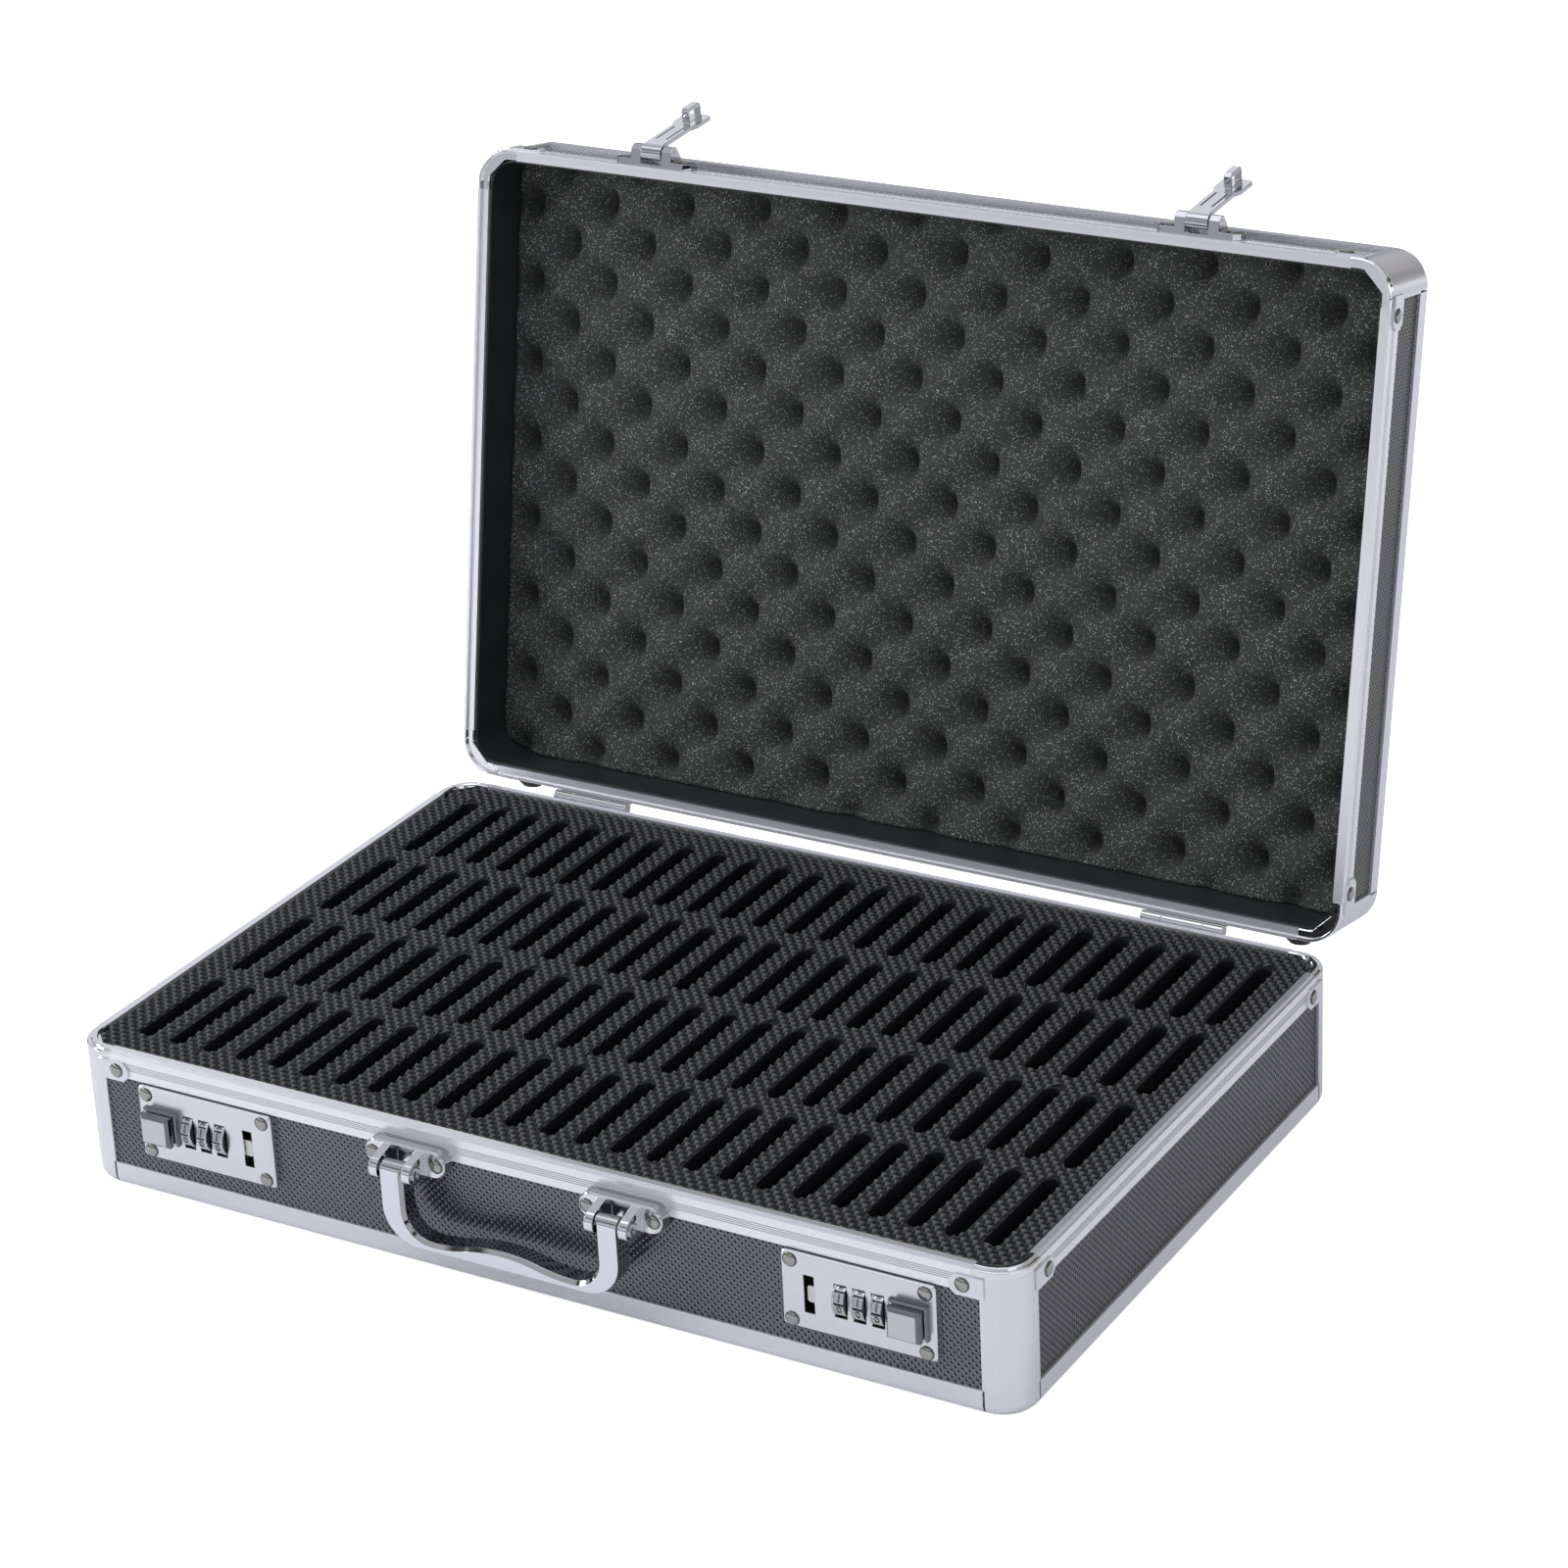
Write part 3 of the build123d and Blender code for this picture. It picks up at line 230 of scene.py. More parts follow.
edges = grain.nodes.new("ShaderNodeBevel")
edges.samples = 6
grain.links.new(grain_in.outputs["Edge radius"], edges.inputs["Radius"])
grain.links.new(edges.outputs["Normal"], grain_out.inputs["Normal"])


def metal(name, colour, roughness, spread, edge_radius, metallic=1.0):
    """Metal with a fine grain in its gloss and softened edges."""
    material, tree, shader = new_material(name, colour, metallic, roughness)
    finish = use_group(tree, grain)
    for label, value in (("Roughness", roughness), ("Spread", spread), ("Edge radius", edge_radius)):
        finish.inputs[label].default_value = value
    tree.links.new(finish.outputs["Roughness"], shader.inputs["Roughness"])
    tree.links.new(finish.outputs["Normal"], shader.inputs["Normal"])
    return material


oxide_gloss = 0.72
anodised = metal("anodised_aluminium", (0.71, 0.715, 0.77), 0.25, 0.03, 0.00003, oxide_gloss)
use_material([part + piece for part in ("base", "lid")
              for piece in ("_edge_extrusions", "_corner_posts", "_corner_caps")], anodised)

base_rim = 0.0662
lid_rim = 0.06645
first_groove = 0.0036
groove_pitch = 0.00095
groove_count = 4.0
hinge_line = Vector((0, 0.154, base_rim))
turned_back = hinge_line - Matrix.Rotation(lid_open, 3, "X") @ hinge_line
for part, turn, shift, rim, away in (("base", 0.0, (0, 0, 0), base_rim, -1),
                                     ("lid", lid_open, turned_back, lid_rim, 1)):
    grooved = metal(part + "_grooved_aluminium", (0.76, 0.765, 0.815), 0.25, 0.03, 0.00003, oxide_gloss)
    tree = grooved.node_tree
    from_rim = math_node(tree, "SUBTRACT", turned_axes(tree, turn, shift)["Z"], rim)
    past_first = math_node(tree, "SUBTRACT", math_node(tree, "MULTIPLY", from_rim, away), first_groove)
    lines = math_node(tree, "DIVIDE", past_first, groove_pitch)
    inside = math_node(tree, "MULTIPLY", math_node(tree, "GREATER_THAN", lines, 0.0),
                       math_node(tree, "LESS_THAN", lines, groove_count))
    # Painted shade: the lines of the grooves are coloured darker, as shade in their hollows.
    painted_groove_shade = math_node(tree, "LESS_THAN", math_node(tree, "FRACT", lines), 0.5)
    tint = colour_mix(tree, (0.82, 0.82, 0.87), (0.44, 0.445, 0.48), math_node(tree, "MULTIPLY", painted_groove_shade, inside))
    tree.links.new(tint, tree.nodes["Principled BSDF"].inputs["Base Color"])
    use_material([part + "_rim_extrusions"], grooved)


# Rim corners
# Die-cast, bright plated corners with a double bead and a small gusset inside. They join the rim
# extrusions at the four corners of the base and of the lid.
chrome = metal("bright_plating", (0.74, 0.74, 0.76), 0.05, 0.02, 0.0004)
use_material(["base_rim_corners", "lid_rim_corners"], chrome)


# Rivets
# Domed rivets in plated steel, one size for corners, locks and brackets and a smaller one for the
# hinges. Each head is turned here as a smooth dome in place of the CAD's faceted one.
closed_to_open = (Matrix.Translation(hinge_line) @ Matrix.Rotation(-lid_open, 4, "X")
                  @ Matrix.Translation(-hinge_line))


def add_piece(name, mesh, material):
    """Stands a mesh in the scene as a piece with one material."""
    mesh.materials.append(material)
    piece = bpy.data.objects.new(name, mesh)
    bpy.context.scene.collection.objects.link(piece)
    return piece


def domes(name, places, radius, head, body, node):
    """Smooth rivet heads, each standing on Z = 0 of its place, joined into one piece."""
    segments = 32
    rim = head * 0.15
    slope = 2 * math.atan((head - rim) / radius)
    ball = radius / math.sin(slope)
    profile = [(radius, 0.0)]
    rings = 8
    for ring in range(rings):
        turn = slope * (1 - ring / rings)
        profile.append((ball * math.sin(turn), rim + ball * (math.cos(turn) - math.cos(slope))))
    vertices = []
    faces = []
    for place in places:
        start = len(vertices)
        for reach, height in profile:
            for step in range(segments):
                angle = 2 * math.pi * step / segments
                vertices.append(place @ Vector((reach * math.cos(angle), reach * math.sin(angle), height)))
        vertices.append(place @ Vector((0, 0, head)))
        for ring in range(len(profile) - 1):
            for step in range(segments):
                after = (step + 1) % segments
                low = start + ring * segments
                faces.append((low + step, low + after, low + segments + after, low + segments + step))
        top = start + (len(profile) - 1) * segments
        for step in range(segments):
            faces.append((top + step, top + (step + 1) % segments, len(vertices) - 1))
    mesh = bpy.data.meshes.new(name)
    mesh.from_pydata(vertices, [], faces)
    mesh.polygons.foreach_set("use_smooth", [True] * len(faces))
    rims = mesh.attributes.new("rim_share", "FLOAT", "POINT")
    shares = [reach / radius for reach, height in profile for step in range(segments)] + [0.0]
    rims.data.foreach_set("value", shares * len(places))
    piece = add_piece(name, mesh, rivet_metal)
    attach(piece, body)
    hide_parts(node)


rivet_metal = metal("rivet_plating", (0.56, 0.55, 0.54), 0.14, 0.06, 0.00003)
tree = rivet_metal.node_tree
# Painted shade: the outer part of each head is coloured near black, as shade round the dome's edge.
share = tree.nodes.new("ShaderNodeAttribute")
share.attribute_name = "rim_share"
edge = share_between(tree, share.outputs["Fac"], 0.70, 0.98, "SMOOTHSTEP")
tint = colour_mix(tree, (0.36, 0.355, 0.35), (0.09, 0.088, 0.085), edge)
tree.links.new(tint, tree.nodes["Principled BSDF"].inputs["Base Color"])
facing = {
    "front": Matrix.Rotation(math.radians(90), 4, "X"),
    "back": Matrix.Rotation(math.radians(-90), 4, "X"),
    "right": Matrix.Rotation(math.radians(90), 4, "Y"),
    "left": Matrix.Rotation(math.radians(-90), 4, "Y"),
}
half_width = 0.230
half_depth = 0.151
tab = 0.0009
rivet_radius = 0.0033
rivet_head = 0.0013
for part, front_inset, side_inset, level in (("base", 0.024, 0.0245, base_rim - 0.0075),
                                             ("lid", 0.0244, 0.0234, lid_rim + 0.0068)):
    places = []
    for sign in (-1, 1):
        x = sign * (half_width - front_inset)
        y = sign * (half_depth - side_inset)
        places.append(Matrix.Translation((x, -half_depth - tab, level)) @ facing["front"])
        places.append(Matrix.Translation((x, half_depth + tab, level)) @ facing["back"])
        places.append(Matrix.Translation((half_width + tab, y, level)) @ facing["right"])
        places.append(Matrix.Translation((-half_width - tab, y, level)) @ facing["left"])
    if part == "lid":
        places = [closed_to_open @ place for place in places]
    domes(part + "_corner_rivet_heads", places, rivet_radius, rivet_head, part, part + "_corner_rivets")

lock_centre = 0.1596
lock_middle = base_rim - 0.02855
lock_corner = (0.0305, 0.0136)
lock_face = 0.0022
places = [Matrix.Translation((side * (lock_centre + across * lock_corner[0]), -half_depth - lock_face,
                              lock_middle + up * lock_corner[1])) @ facing["front"]
          for side in (-1, 1) for across in (-1, 1) for up in (-1, 1)]
domes("lock_rivet_heads", places, rivet_radius, rivet_head, "base", "lock_rivets")


def rivet_pairs(middle, half_gap, y, z, way):
    """Places of two rivets beside each other, on both halves of the case."""
    return [Matrix.Translation((centre + side * half_gap, y, z)) @ facing[way]
            for centre in (-middle, middle) for side in (-1, 1)]


places = rivet_pairs(0.0526, 0.0158, -half_depth - 0.0062, base_rim - 0.0113, "front")
domes("bracket_rivet_heads", places, rivet_radius, rivet_head, "base", "bracket_rivets")
places = rivet_pairs(0.1374, 0.0153, -half_depth - 0.003, lid_rim + 0.0075, "front")
places = [closed_to_open @ place for place in places]
domes("hasp_rivet_heads", places, rivet_radius * 0.9, rivet_head * 0.8, "lid", "hasp_rivets")
for part, level in (("base", base_rim - 0.0066), ("lid", base_rim + 0.0066)):
    places = rivet_pairs(0.1555, 0.013, half_depth + 0.0014, level, "back")
    if part == "lid":
        places = [closed_to_open @ place for place in places]
    domes("hinge_" + part + "_rivet_heads", places, 0.0022, 0.0008, part, "hinge_" + part + "_rivets")


# Slotted foam
# One block of black foam with four rows of slots for upright slabs, its top knurled with rows of
# small flat-topped scales. It stands on a plain floor pad and is pressed in between the panels.
foam_black, tree, shader = new_material("black_foam", (0.022, 0.022, 0.025), 0.0, 0.5)
place = tree.nodes.new("ShaderNodeTexCoord")
noise = tree.nodes.new("ShaderNodeTexNoise")
noise.inputs["Scale"].default_value = 2300.0
noise.inputs["Detail"].default_value = 4.0
tree.links.new(place.outputs["Object"], noise.inputs["Vector"])
bump = tree.nodes.new("ShaderNodeBump")
bump.inputs["Strength"].default_value = 0.7
bump.inputs["Distance"].default_value = 0.0002
tree.links.new(noise.outputs["Fac"], bump.inputs["Height"])
tree.links.new(bump.outputs["Normal"], shader.inputs["Normal"])
foam_top = 0.0652
split = tree.nodes.new("ShaderNodeSeparateXYZ")
tree.links.new(place.outputs["Object"], split.inputs[0])
# Painted light and shade: the tips of the knurl are coloured lighter and its low parts near black.
painted_peak_light = share_between(tree, split.outputs["Z"], foam_top + 0.0002, foam_top + 0.0015)
tint = colour_mix(tree, (0.006, 0.006, 0.008), (0.070, 0.069, 0.077), painted_peak_light)
tree.links.new(tint, shader.inputs["Base Color"])
use_material(["foam_floor_pad"], foam_black)

slot_half = 0.0038
row_half = 0.02875
slot_pitch = 0.01725
row_pitch = 0.068
slot_xs = [(index - 12) * slot_pitch for index in range(25)]
row_ys = [(index - 1.5) * row_pitch for index in range(4)]
foam_half = (0.2248, 0.1458)
foam_corner = 0.011
foam_low = 0.0111
notch_top = 0.0506


def rounded_outline(half_x, half_y, radius, steps):
    """Points round a rectangle with rounded corners, anticlockwise."""
    points = []
    for corner, (sign_x, sign_y) in enumerate(((1, 1), (-1, 1), (-1, -1), (1, -1))):
        for step in range(steps + 1):
            turn = math.radians(90 * (corner + step / steps))
            points.append((sign_x * (half_x - radius) + radius * math.cos(turn),
                           sign_y * (half_y - radius) + radius * math.sin(turn)))
    return points


def foam_block(low, high, outline):
    """Filled outline with the slots left open, as an upright prism's vertices and faces."""
    curve = bpy.data.curves.new("foam_outline", "CURVE")
    curve.dimensions = "2D"
    curve.fill_mode = "BOTH"
    loops = [outline]
    for y in row_ys:
        for x in slot_xs:
            slot = rounded_outline(slot_half, row_half, slot_half, 4)
            loops.append([(x + px, y + py) for px, py in slot])
    for loop in loops:
        spline = curve.splines.new("POLY")
        spline.points.add(len(loop) - 1)
        for point, (x, y) in zip(spline.points, loop):
            point.co = (x, y, 0, 1)
        spline.use_cyclic_u = True
    curve.extrude = (high - low) / 2
    holder = bpy.data.objects.new("foam_outline", curve)
    mesh = bpy.data.meshes.new_from_object(holder)
    mesh.transform(Matrix.Translation((0, 0, (low + high) / 2)))
    bpy.data.objects.remove(holder)
    return mesh


def notched_outline():
    """Foam outline with room for the two lock housings at its front."""
    near, far, back = 0.1316, 0.1884, -0.1364
    steps = 6
    points = rounded_outline(*foam_half, foam_corner, steps)
    front = []
    for x0, x1 in ((-far, -near), (near, far)):
        front += [(x0, -foam_half[1]), (x0, back), (x1, back), (x1, -foam_half[1])]
    after_left = 3 * (steps + 1)
    return points[:after_left] + front + points[after_left:]


upper = foam_block(notch_top, foam_top, rounded_outline(*foam_half, foam_corner, 6))
lower = foam_block(foam_low, notch_top, notched_outline())
knurl = bmesh.new()
knurl.from_mesh(upper)
knurl.from_mesh(lower)
pitch_x = 0.00530
pitch_y = 0.00315
knurl_height = 0.0015
knurl_border = 0.0006
scale_corners = ((0.40 * pitch_x, 0.55 * pitch_y), (-0.40 * pitch_x, 0.55 * pitch_y), (0, -0.95 * pitch_y))
tip_levels = (1.0, 1.0, 0.45)
top_share = 0.52
rows = int(2 * foam_half[1] / pitch_y)
columns = int(2 * foam_half[0] / pitch_x)


def inside_slot(x, y):
    """Centre of the slot that a point lies in, or None."""
    for slot_x in slot_xs:
        if abs(x - slot_x) < slot_half:
            for row_y in row_ys:
                beyond = max(0.0, abs(y - row_y) - (row_half - slot_half))
                if math.hypot(x - slot_x, beyond) < slot_half:
                    return slot_x
    return None


for row in range(-rows // 2, rows // 2 + 1):
    y = row * pitch_y
    shift = (row % 2) * pitch_x / 2
    for column in range(-columns // 2 - 1, columns // 2 + 2):
        x = column * pitch_x + shift
        if abs(x) > foam_half[0] - knurl_border or abs(y) > foam_half[1] - knurl_border:
            continue
        over_x = max(0.0, abs(x) - (foam_half[0] - foam_corner))
        over_y = max(0.0, abs(y) - (foam_half[1] - foam_corner))
        if inside_slot(x, y) is not None or math.hypot(over_x, over_y) > foam_corner - 0.0005:
            continue
        corners = []
        for dx, dy in scale_corners:
            cx = max(-foam_half[0], min(foam_half[0], x + dx))
            cy = max(-foam_half[1], min(foam_half[1], y + dy))
            middle = inside_slot(cx, cy)
            if middle is not None:
                cx = middle + math.copysign(slot_half, x - middle)
            corners.append(knurl.verts.new((cx, cy, foam_top)))
        tips = [knurl.verts.new(((1 - top_share) * x + top_share * corner.co.x,
                                 (1 - top_share) * y + top_share * corner.co.y,
                                 foam_top + knurl_height * level))
                for corner, level in zip(corners, tip_levels)]
        for index in range(3):
            after = (index + 1) % 3
            knurl.faces.new((corners[index], corners[after], tips[after], tips[index]))
        knurl.faces.new(tips)
mesh = bpy.data.meshes.new("slotted_foam")
knurl.to_mesh(mesh)
knurl.free()
slotted_foam = add_piece("slotted_foam", mesh, foam_black)
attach(slotted_foam, "base")
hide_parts("slab_foam_fins", "slab_foam_bars")


# Combination locks
# A satin plated die-cast plate with a housing behind it, riveted through the front panel. Three
# plated number wheels turn on a steel shaft, and the button carries a slider with the bolt.
def two_tone(name, face_colour, shaded_side_colour, face_roughness, side_roughness, front):
    """Plated metal whose face towards `front`, at rest, is satin and whose other sides are polished and
    painted darker as shade.
    """
    material = metal(name, face_colour, face_roughness, 0.05, 0.0005)
    tree = material.node_tree
    shader = tree.nodes["Principled BSDF"]
    place = tree.nodes.new("ShaderNodeTexCoord")
    turned = tree.nodes.new("ShaderNodeVectorMath")
    turned.operation = "DOT_PRODUCT"
    turned.inputs[1].default_value = front
    tree.links.new(place.outputs["Normal"], turned.inputs[0])
    face = share_between(tree, turned.outputs["Value"], 0.80, 0.97)
    tree.links.new(colour_mix(tree, shaded_side_colour, face_colour, face), shader.inputs["Base Color"])
    gloss = math_node(tree, "MULTIPLY_ADD", face, face_roughness - side_roughness, side_roughness)
    tree.links.new(gloss, shader.inputs["Roughness"])
    return material


closed_front = (0, -1, 0)
open_front = (0, 0.180, 0.984)
plate_metal = metal("lock_plate_satin", (0.69, 0.695, 0.745), 0.25, 0.02, 0.0004)
use_material(["lock_plates"], plate_metal)
dark_steel = metal("dark_steel", (0.30, 0.30, 0.31), 0.4, 0.1, 0.0002)
use_material(["lock_housings", "dial_shafts"], dark_steel)
# Painted shade: off its front face the button is coloured much darker.
button_metal = two_tone("button_plating", (0.56, 0.56, 0.575), (0.17, 0.17, 0.19), 0.16, 0.08, closed_front)
bolt_metal = metal("bolt_plating", (0.62, 0.61, 0.60), 0.35, 0.1, 0.0003)
use_material(["lock_button_left", "lock_button_right"], button_metal)
use_material(["latch_slider_left", "latch_slider_right"], bolt_metal)

wheel_metal = metal("wheel_plating", (0.66, 0.66, 0.68), 0.12, 0.08, 0.0004)
dial_axis = Vector((0, -half_depth + 0.0038, base_rim - 0.0287))
tree = wheel_metal.node_tree
place = tree.nodes.new("ShaderNodeTexCoord")
split = tree.nodes.new("ShaderNodeSeparateXYZ")
tree.links.new(place.outputs["Object"], split.inputs[0])
depth = math_node(tree, "SUBTRACT", split.outputs["Y"], dial_axis.y)
level = math_node(tree, "SUBTRACT", split.outputs["Z"], dial_axis.z)
radius = math_node(tree, "SQRT", math_node(tree, "ADD", math_node(tree, "MULTIPLY", depth, depth),
                                           math_node(tree, "MULTIPLY", level, level)))
outer = share_between(tree, radius, 0.00822, 0.00846)
tree.links.new(colour_mix(tree, (0.02, 0.02, 0.022), (0.52, 0.52, 0.54), outer),
               tree.nodes["Principled BSDF"].inputs["Base Color"])
use_material([side + "_dial_" + str(number) for side in ("left", "right") for number in (1, 2, 3)],
             wheel_metal)

numeral_black = new_material("numeral_enamel", (0.012, 0.012, 0.014), 0.0, 0.35)[0]
flat_radius = 0.0087 * math.cos(math.radians(13)) + 0.00002
numeral_height = 0.0049
numeral_stroke = 0.00015
band_shift = 0.00045
digit_turn = math.radians(36)
for side, sign in (("left", -1), ("right", 1)):
    for number, centre in enumerate((0.1517, 0.1602, 0.1687), 1):
        digits = bmesh.new()
        for digit in range(10):
            curve = bpy.data.curves.new("numeral", "FONT")
            curve.body = str(digit)
            curve.size = numeral_height
            curve.align_x = "CENTER"
            curve.align_y = "CENTER"
            curve.fill_mode = "NONE"
            curve.bevel_depth = numeral_stroke
            curve.bevel_resolution = 0
            holder = bpy.data.objects.new("numeral", curve)
            text = bpy.data.meshes.new_from_object(holder)
            place = (Matrix.Translation((sign * (centre + band_shift), dial_axis.y, dial_axis.z))
                     @ Matrix.Rotation(digit_turn * (0.5 - digit), 4, "X")
                     @ Matrix.Translation((0, -flat_radius, 0)) @ facing["front"])
            text.transform(place)
            digits.from_mesh(text)
            bpy.data.objects.remove(holder)
        mesh = bpy.data.meshes.new("numerals")
        digits.to_mesh(mesh)
        digits.free()
        numerals = add_piece(side + "_dial_" + str(number) + "_numerals", mesh, numeral_black)
        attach(numerals, side + "_dial_" + str(number))


# Handle
# A cast bail handle with a satin front and polished edges, hung on two cross-headed pins between
# the lugs of two riveted, bright plated brackets.
# Painted shade: off their front faces the handle and the brackets are also coloured darker.
handle_satin = two_tone("handle_plating", (0.72, 0.73, 0.80), (0.36, 0.36, 0.37), 0.18, 0.05, closed_front)
use_material(["handle"], handle_satin)
bracket_metal = two_tone("bracket_plating", (0.72, 0.74, 0.79), (0.50, 0.50, 0.51), 0.14, 0.06, closed_front)
use_material(["handle_bracket_left", "handle_bracket_right", "handle_pins"], bracket_metal)


# Hinges and rear feet
# Two pressed steel hinges with rolled knuckles, riveted to both rims at the back, and four turned
# rubber feet on which the closed case stands upright on its back.
# Painted shade: off their faces turned to the front, the hinge parts are coloured darker too.
use_material(["hinge_base_leaves", "hinge_lid_leaves", "hinge_pins"], bracket_metal)
rubber = new_material("foot_rubber", (0.02, 0.02, 0.02), 0.0, 0.6)[0]
use_material(["base_rear_feet", "lid_rear_feet"], rubber)


# Lid lining and egg-crate foam
# A thin smooth black tray lines the lid. A sheet of dark grey open-cell foam, cut in smooth waves
# and speckled with pale grains, is glued inside it and holds the slabs down when it is shut.
lining_black = new_material("lining_black", (0.020, 0.021, 0.024), 0.0, 0.42)[0]
use_material(["lid_lining"], lining_black)

foam_grey, tree, shader = new_material("speckled_foam", (0.05, 0.05, 0.05), 0.0, 0.85)
place = tree.nodes.new("ShaderNodeTexCoord")
cells = tree.nodes.new("ShaderNodeTexNoise")
cells.inputs["Scale"].default_value = 900.0
cells.inputs["Detail"].default_value = 3.0
tree.links.new(place.outputs["Object"], cells.inputs["Vector"])
tint = colour_mix(tree, (0.007, 0.007, 0.007), (0.064, 0.064, 0.062), cells.outputs["Fac"])
grains = tree.nodes.new("ShaderNodeTexVoronoi")
grains.inputs["Scale"].default_value = 1650.0
tree.links.new(place.outputs["Object"], grains.inputs["Vector"])
chosen = tree.nodes.new("ShaderNodeSeparateColor")
tree.links.new(grains.outputs["Color"], chosen.inputs[0])
pale = math_node(tree, "MULTIPLY", math_node(tree, "GREATER_THAN", chosen.outputs["Red"], 0.72),
                 chosen.outputs["Green"])
near = math_node(tree, "LESS_THAN", grains.outputs["Distance"], 0.42)
speckled = colour_mix(tree, tint, (0.60, 0.60, 0.58), math_node(tree, "MULTIPLY", pale, near))
# Painted shade: by each point's pit_share the pits and the sheet's cut sides are coloured near black.
deep = tree.nodes.new("ShaderNodeAttribute")
deep.attribute_name = "pit_share"
pit_shade = math_node(tree, "MULTIPLY", deep.outputs["Fac"], 0.95)
shaded = colour_mix(tree, speckled, (0.006, 0.006, 0.006), pit_shade)
tree.links.new(shaded, shader.inputs["Base Color"])
bump = tree.nodes.new("ShaderNodeBump")
bump.inputs["Strength"].default_value = 0.8
bump.inputs["Distance"].default_value = 0.0007
tree.links.new(cells.outputs["Fac"], bump.inputs["Height"])
tree.links.new(bump.outputs["Normal"], shader.inputs["Normal"])

lid_frame = closed_to_open @ Matrix.Translation((0, 0, lid_rim)) @ Matrix.Rotation(math.pi, 4, "Y")
sheet_back = -0.0446 + 0.0050 + 0.0008
wave_middle = 0.0073
wave_rise = 0.0055
wave_pitch = (0.0410, 0.0383)
first_pit = (-0.1980, -0.1063)
row_slope = 0.090
column_lean = 0.0145
sheet_half = (0.2236, 0.1446)
corner_round = 0.0122
calm_border = 0.012
lip_shift = 0.0064
step = 0.0013
count_x = int(2 * sheet_half[0] / step)
count_y = int(2 * sheet_half[1] / step)
vertices = []
faces = []
pits = []
for row in range(count_y + 1):
    for column in range(count_x + 1):
        x = -sheet_half[0] + 2 * sheet_half[0] * column / count_x
        y = -sheet_half[1] + 2 * sheet_half[1] * row / count_y
        over_x = abs(x) - (sheet_half[0] - corner_round)
        over_y = abs(y) - (sheet_half[1] - corner_round)
        reach = math.hypot(over_x, over_y)
        if over_x > 0 and over_y > 0 and reach > corner_round:
            x = math.copysign(sheet_half[0] - corner_round + over_x * corner_round / reach, x)
            y = math.copysign(sheet_half[1] - corner_round + over_y * corner_round / reach, y)
        across = -x - first_pit[0] - column_lean * (y - first_pit[1])
        up = y - first_pit[1] + row_slope * (-x - first_pit[0])
        wave_x = math.cos(2 * math.pi * across / wave_pitch[0])
        wave_y = math.cos(2 * math.pi * up / wave_pitch[1])
        nearness = (1 + wave_x * wave_y) / 2
        inward = min(1.0, min(sheet_half[0] - abs(x), sheet_half[1] - abs(y)) / calm_border)
        calm = 0.35 + 0.65 * inward ** 0.5
        pocket = nearness ** 3.6 * abs(wave_x) ** 2.0
        hollow = 0.45 * nearness ** 1.3 + 0.55 * pocket
        drop = 2 * hollow * calm - 1
        x -= lip_shift * pocket * inward
        vertices.append(lid_frame @ Vector((x, y, sheet_back + wave_middle - wave_rise * drop)))
        # pit_share: how deep in a pit a point lies, for the painted shade.
        pits.append(0.45 * nearness ** 1.5 + 0.55 * pocket)
wide = count_x + 1
for row in range(count_y):
    for column in range(count_x):
        low = row * wide + column
        faces.append((low, low + 1, low + wide + 1, low + wide))
edge = list(range(wide))
edge += [row * wide + count_x for row in range(1, count_y + 1)]
edge += [count_y * wide + column for column in range(count_x - 1, -1, -1)]
edge += [row * wide for row in range(count_y - 1, 0, -1)]
start = len(vertices)
to_lid = lid_frame.inverted()
for index in edge:
    point = to_lid @ vertices[index]
    vertices.append(lid_frame @ Vector((point.x, point.y, sheet_back)))
    # The sheet's cut sides get the full painted shade.
    pits.append(1.0)
for index in range(len(edge)):
    after = (index + 1) % len(edge)
    faces.append((edge[after], edge[index], start + index, start + after))
mesh = bpy.data.meshes.new("egg_crate_waves")
mesh.from_pydata(vertices, [], faces)
mesh.polygons.foreach_set("use_smooth", [True] * (count_x * count_y) + [False] * len(edge))
shades = mesh.attributes.new("pit_share", "FLOAT", "POINT")
shades.data.foreach_set("value", pits)
egg_crate = add_piece("egg_crate_waves", mesh, foam_grey)
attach(egg_crate, "lid")
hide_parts("egg_crate_foam")


# Hasps
# Cast, bright plated hasps on the lid's front: a base with two cheeks, a steel pin, and a lever
# whose loop enters the window of the lock plate, where the bolt holds it.
# Painted shade: off their faces turned up, the hasps are also coloured darker.
hasp_metal = two_tone("hasp_plating", (0.74, 0.74, 0.77), (0.42, 0.42, 0.45), 0.10, 0.03, open_front)
use_material(["hasp_bases", "hasp_pins", "hasp_lever_left", "hasp_lever_right"], hasp_metal)


# Floor, lights and camera
# White studio: a pale floor that keeps the case's soft shadow, a soft box overhead, a key lamp at
# the left, a weaker one at the right, and a surround that is white to the camera and banded in gloss.
bpy.ops.mesh.primitive_plane_add(size=12, location=(0, 0, 0))
floor = bpy.context.object
floor.name = "studio_floor"
material, tree, shader = new_material("studio_floor", (0.92, 0.92, 0.93), 0.0, 0.9)
shader.inputs["Specular IOR Level"].default_value = 0.0
glow = tree.nodes.new("ShaderNodeEmission")
glow.inputs["Color"].default_value = (1, 1, 1, 1)
path = tree.nodes.new("ShaderNodeLightPath")
place = tree.nodes.new("ShaderNodeTexCoord")
away = tree.nodes.new("ShaderNodeVectorMath")
away.operation = "LENGTH"
tree.links.new(place.outputs["Object"], away.inputs[0])
far = share_between(tree, away.outputs["Value"], 0.9, 2.4)
ring = math_node(tree, "SUBTRACT", 1.0, math_node(tree, "COMPARE", away.outputs["Value"], 2.1, 0.6))
reflected = math_node(tree, "MULTIPLY", math_node(tree, "MULTIPLY", far, 0.65), ring)
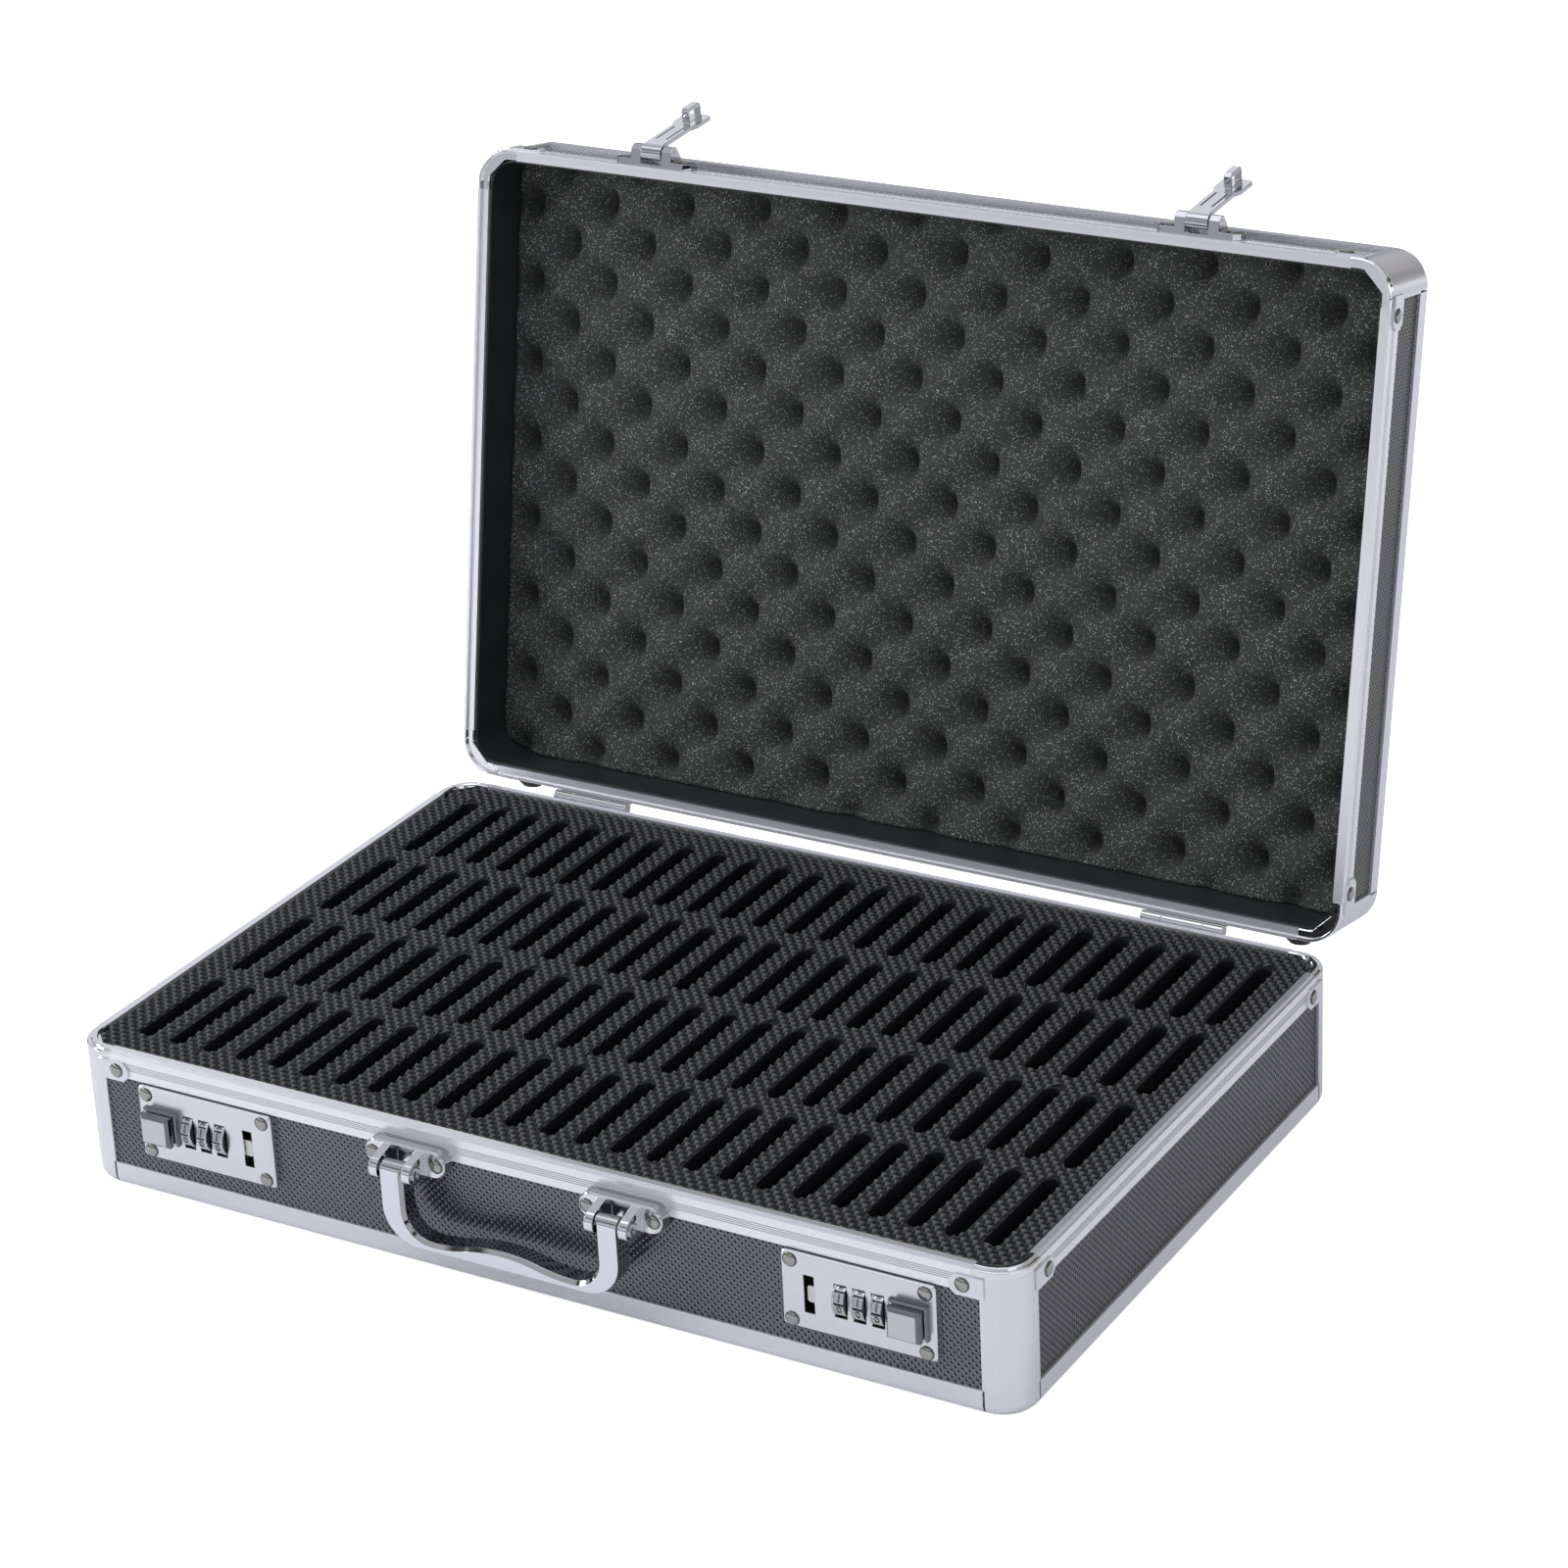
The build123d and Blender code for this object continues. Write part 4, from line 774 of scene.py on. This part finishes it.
mirrored = math_node(tree, "MULTIPLY", path.outputs["Is Glossy Ray"], reflected)
strength = math_node(tree, "MULTIPLY_ADD", path.outputs["Is Camera Ray"], 0.68, mirrored)
tree.links.new(strength, glow.inputs["Strength"])
added = tree.nodes.new("ShaderNodeAddShader")
tree.links.new(shader.outputs[0], added.inputs[0])
tree.links.new(glow.outputs[0], added.inputs[1])
tree.links.new(added.outputs[0], tree.nodes["Material Output"].inputs["Surface"])
floor.data.materials.append(material)

for name, place, aim, size, power in (
        ("overhead", (-0.3, -0.2, 2.0), (0, 0, 0.05), 1.5, 8.0),
        ("key", (-2.0, -1.1, 0.95), (0, 0.05, 0.12), 0.8, 18.0),
        ("right", (2.0, -0.9, 0.9), (0, 0, 0.1), 1.0, 3.5)):
    lamp = bpy.data.lights.new(name, "AREA")
    lamp.size = size
    lamp.energy = power
    holder = bpy.data.objects.new(name, lamp)
    holder.location = place
    holder.rotation_euler = (Vector(aim) - Vector(place)).to_track_quat("-Z", "Y").to_euler()
    bpy.context.scene.collection.objects.link(holder)

world = bpy.data.worlds.new("studio")
bpy.context.scene.world = world
world.use_nodes = True
tree = world.node_tree
background = tree.nodes["Background"]
place = tree.nodes.new("ShaderNodeTexCoord")
split = tree.nodes.new("ShaderNodeSeparateXYZ")
tree.links.new(place.outputs["Generated"], split.inputs[0])
height = math_node(tree, "MULTIPLY_ADD", split.outputs["Z"], 0.5, 0.5)
bands = tree.nodes.new("ShaderNodeValToRGB")
tree.links.new(height, bands.inputs["Fac"])
stops = bands.color_ramp.elements
stops[0].position = 0.0
stops[0].color = (0.01, 0.01, 0.01, 1)
stops[1].position = 1.0
stops[1].color = (0.78, 0.80, 0.86, 1)
for level, grey in ((-0.04, 0.01), (0.0, 0.04), (0.11, 0.05), (0.18, 0.76), (0.50, 0.80), (0.53, 0.10),
                    (0.61, 0.10), (0.65, 0.85)):
    stop = stops.new((level + 1) / 2)
    stop.color = (grey, grey * 1.02, grey * 1.08, 1)
shade = bands.outputs["Color"]
streak = math_node(tree, "COMPARE", split.outputs["Z"], 0.10, 0.05)
above = math_node(tree, "SUBTRACT", math_node(tree, "GREATER_THAN", split.outputs["Z"], -0.01), streak)
for toward, low, high, most, colour in (((-0.20, -0.98), 0.84, 0.96, 0.85, (0.76, 0.78, 0.84)),
                                        ((0.60, 0.80), 0.45, 0.85, 1.0, (0.45, 0.425, 0.395))):
    facing_it = math_node(tree, "ADD", math_node(tree, "MULTIPLY", split.outputs["X"], toward[0]),
                          math_node(tree, "MULTIPLY", split.outputs["Y"], toward[1]))
    amount = share_between(tree, facing_it, low, high, "SMOOTHSTEP")
    share = math_node(tree, "MULTIPLY", amount, math_node(tree, "MULTIPLY", above, most))
    shade = colour_mix(tree, shade, colour, share)
path = tree.nodes.new("ShaderNodeLightPath")
surround = colour_mix(tree, shade, (1.0, 1.0, 1.0), path.outputs["Is Camera Ray"])
tree.links.new(surround, background.inputs["Color"])

camera_data = bpy.data.cameras.new("camera")
camera_data.lens = 104.22
camera_data.sensor_width = 36.0
camera_data.clip_end = 50
camera = bpy.data.objects.new("camera", camera_data)
camera.matrix_world = Matrix(((0.86549, -0.17216, 0.47040, 0.94135),
                              (0.49884, 0.38175, -0.77809, -1.48258),
                              (-0.04562, 0.90809, 0.41628, 0.97150),
                              (0, 0, 0, 1)))
bpy.context.scene.collection.objects.link(camera)
bpy.context.scene.camera = camera
bpy.context.scene.view_settings.view_transform = "Standard"
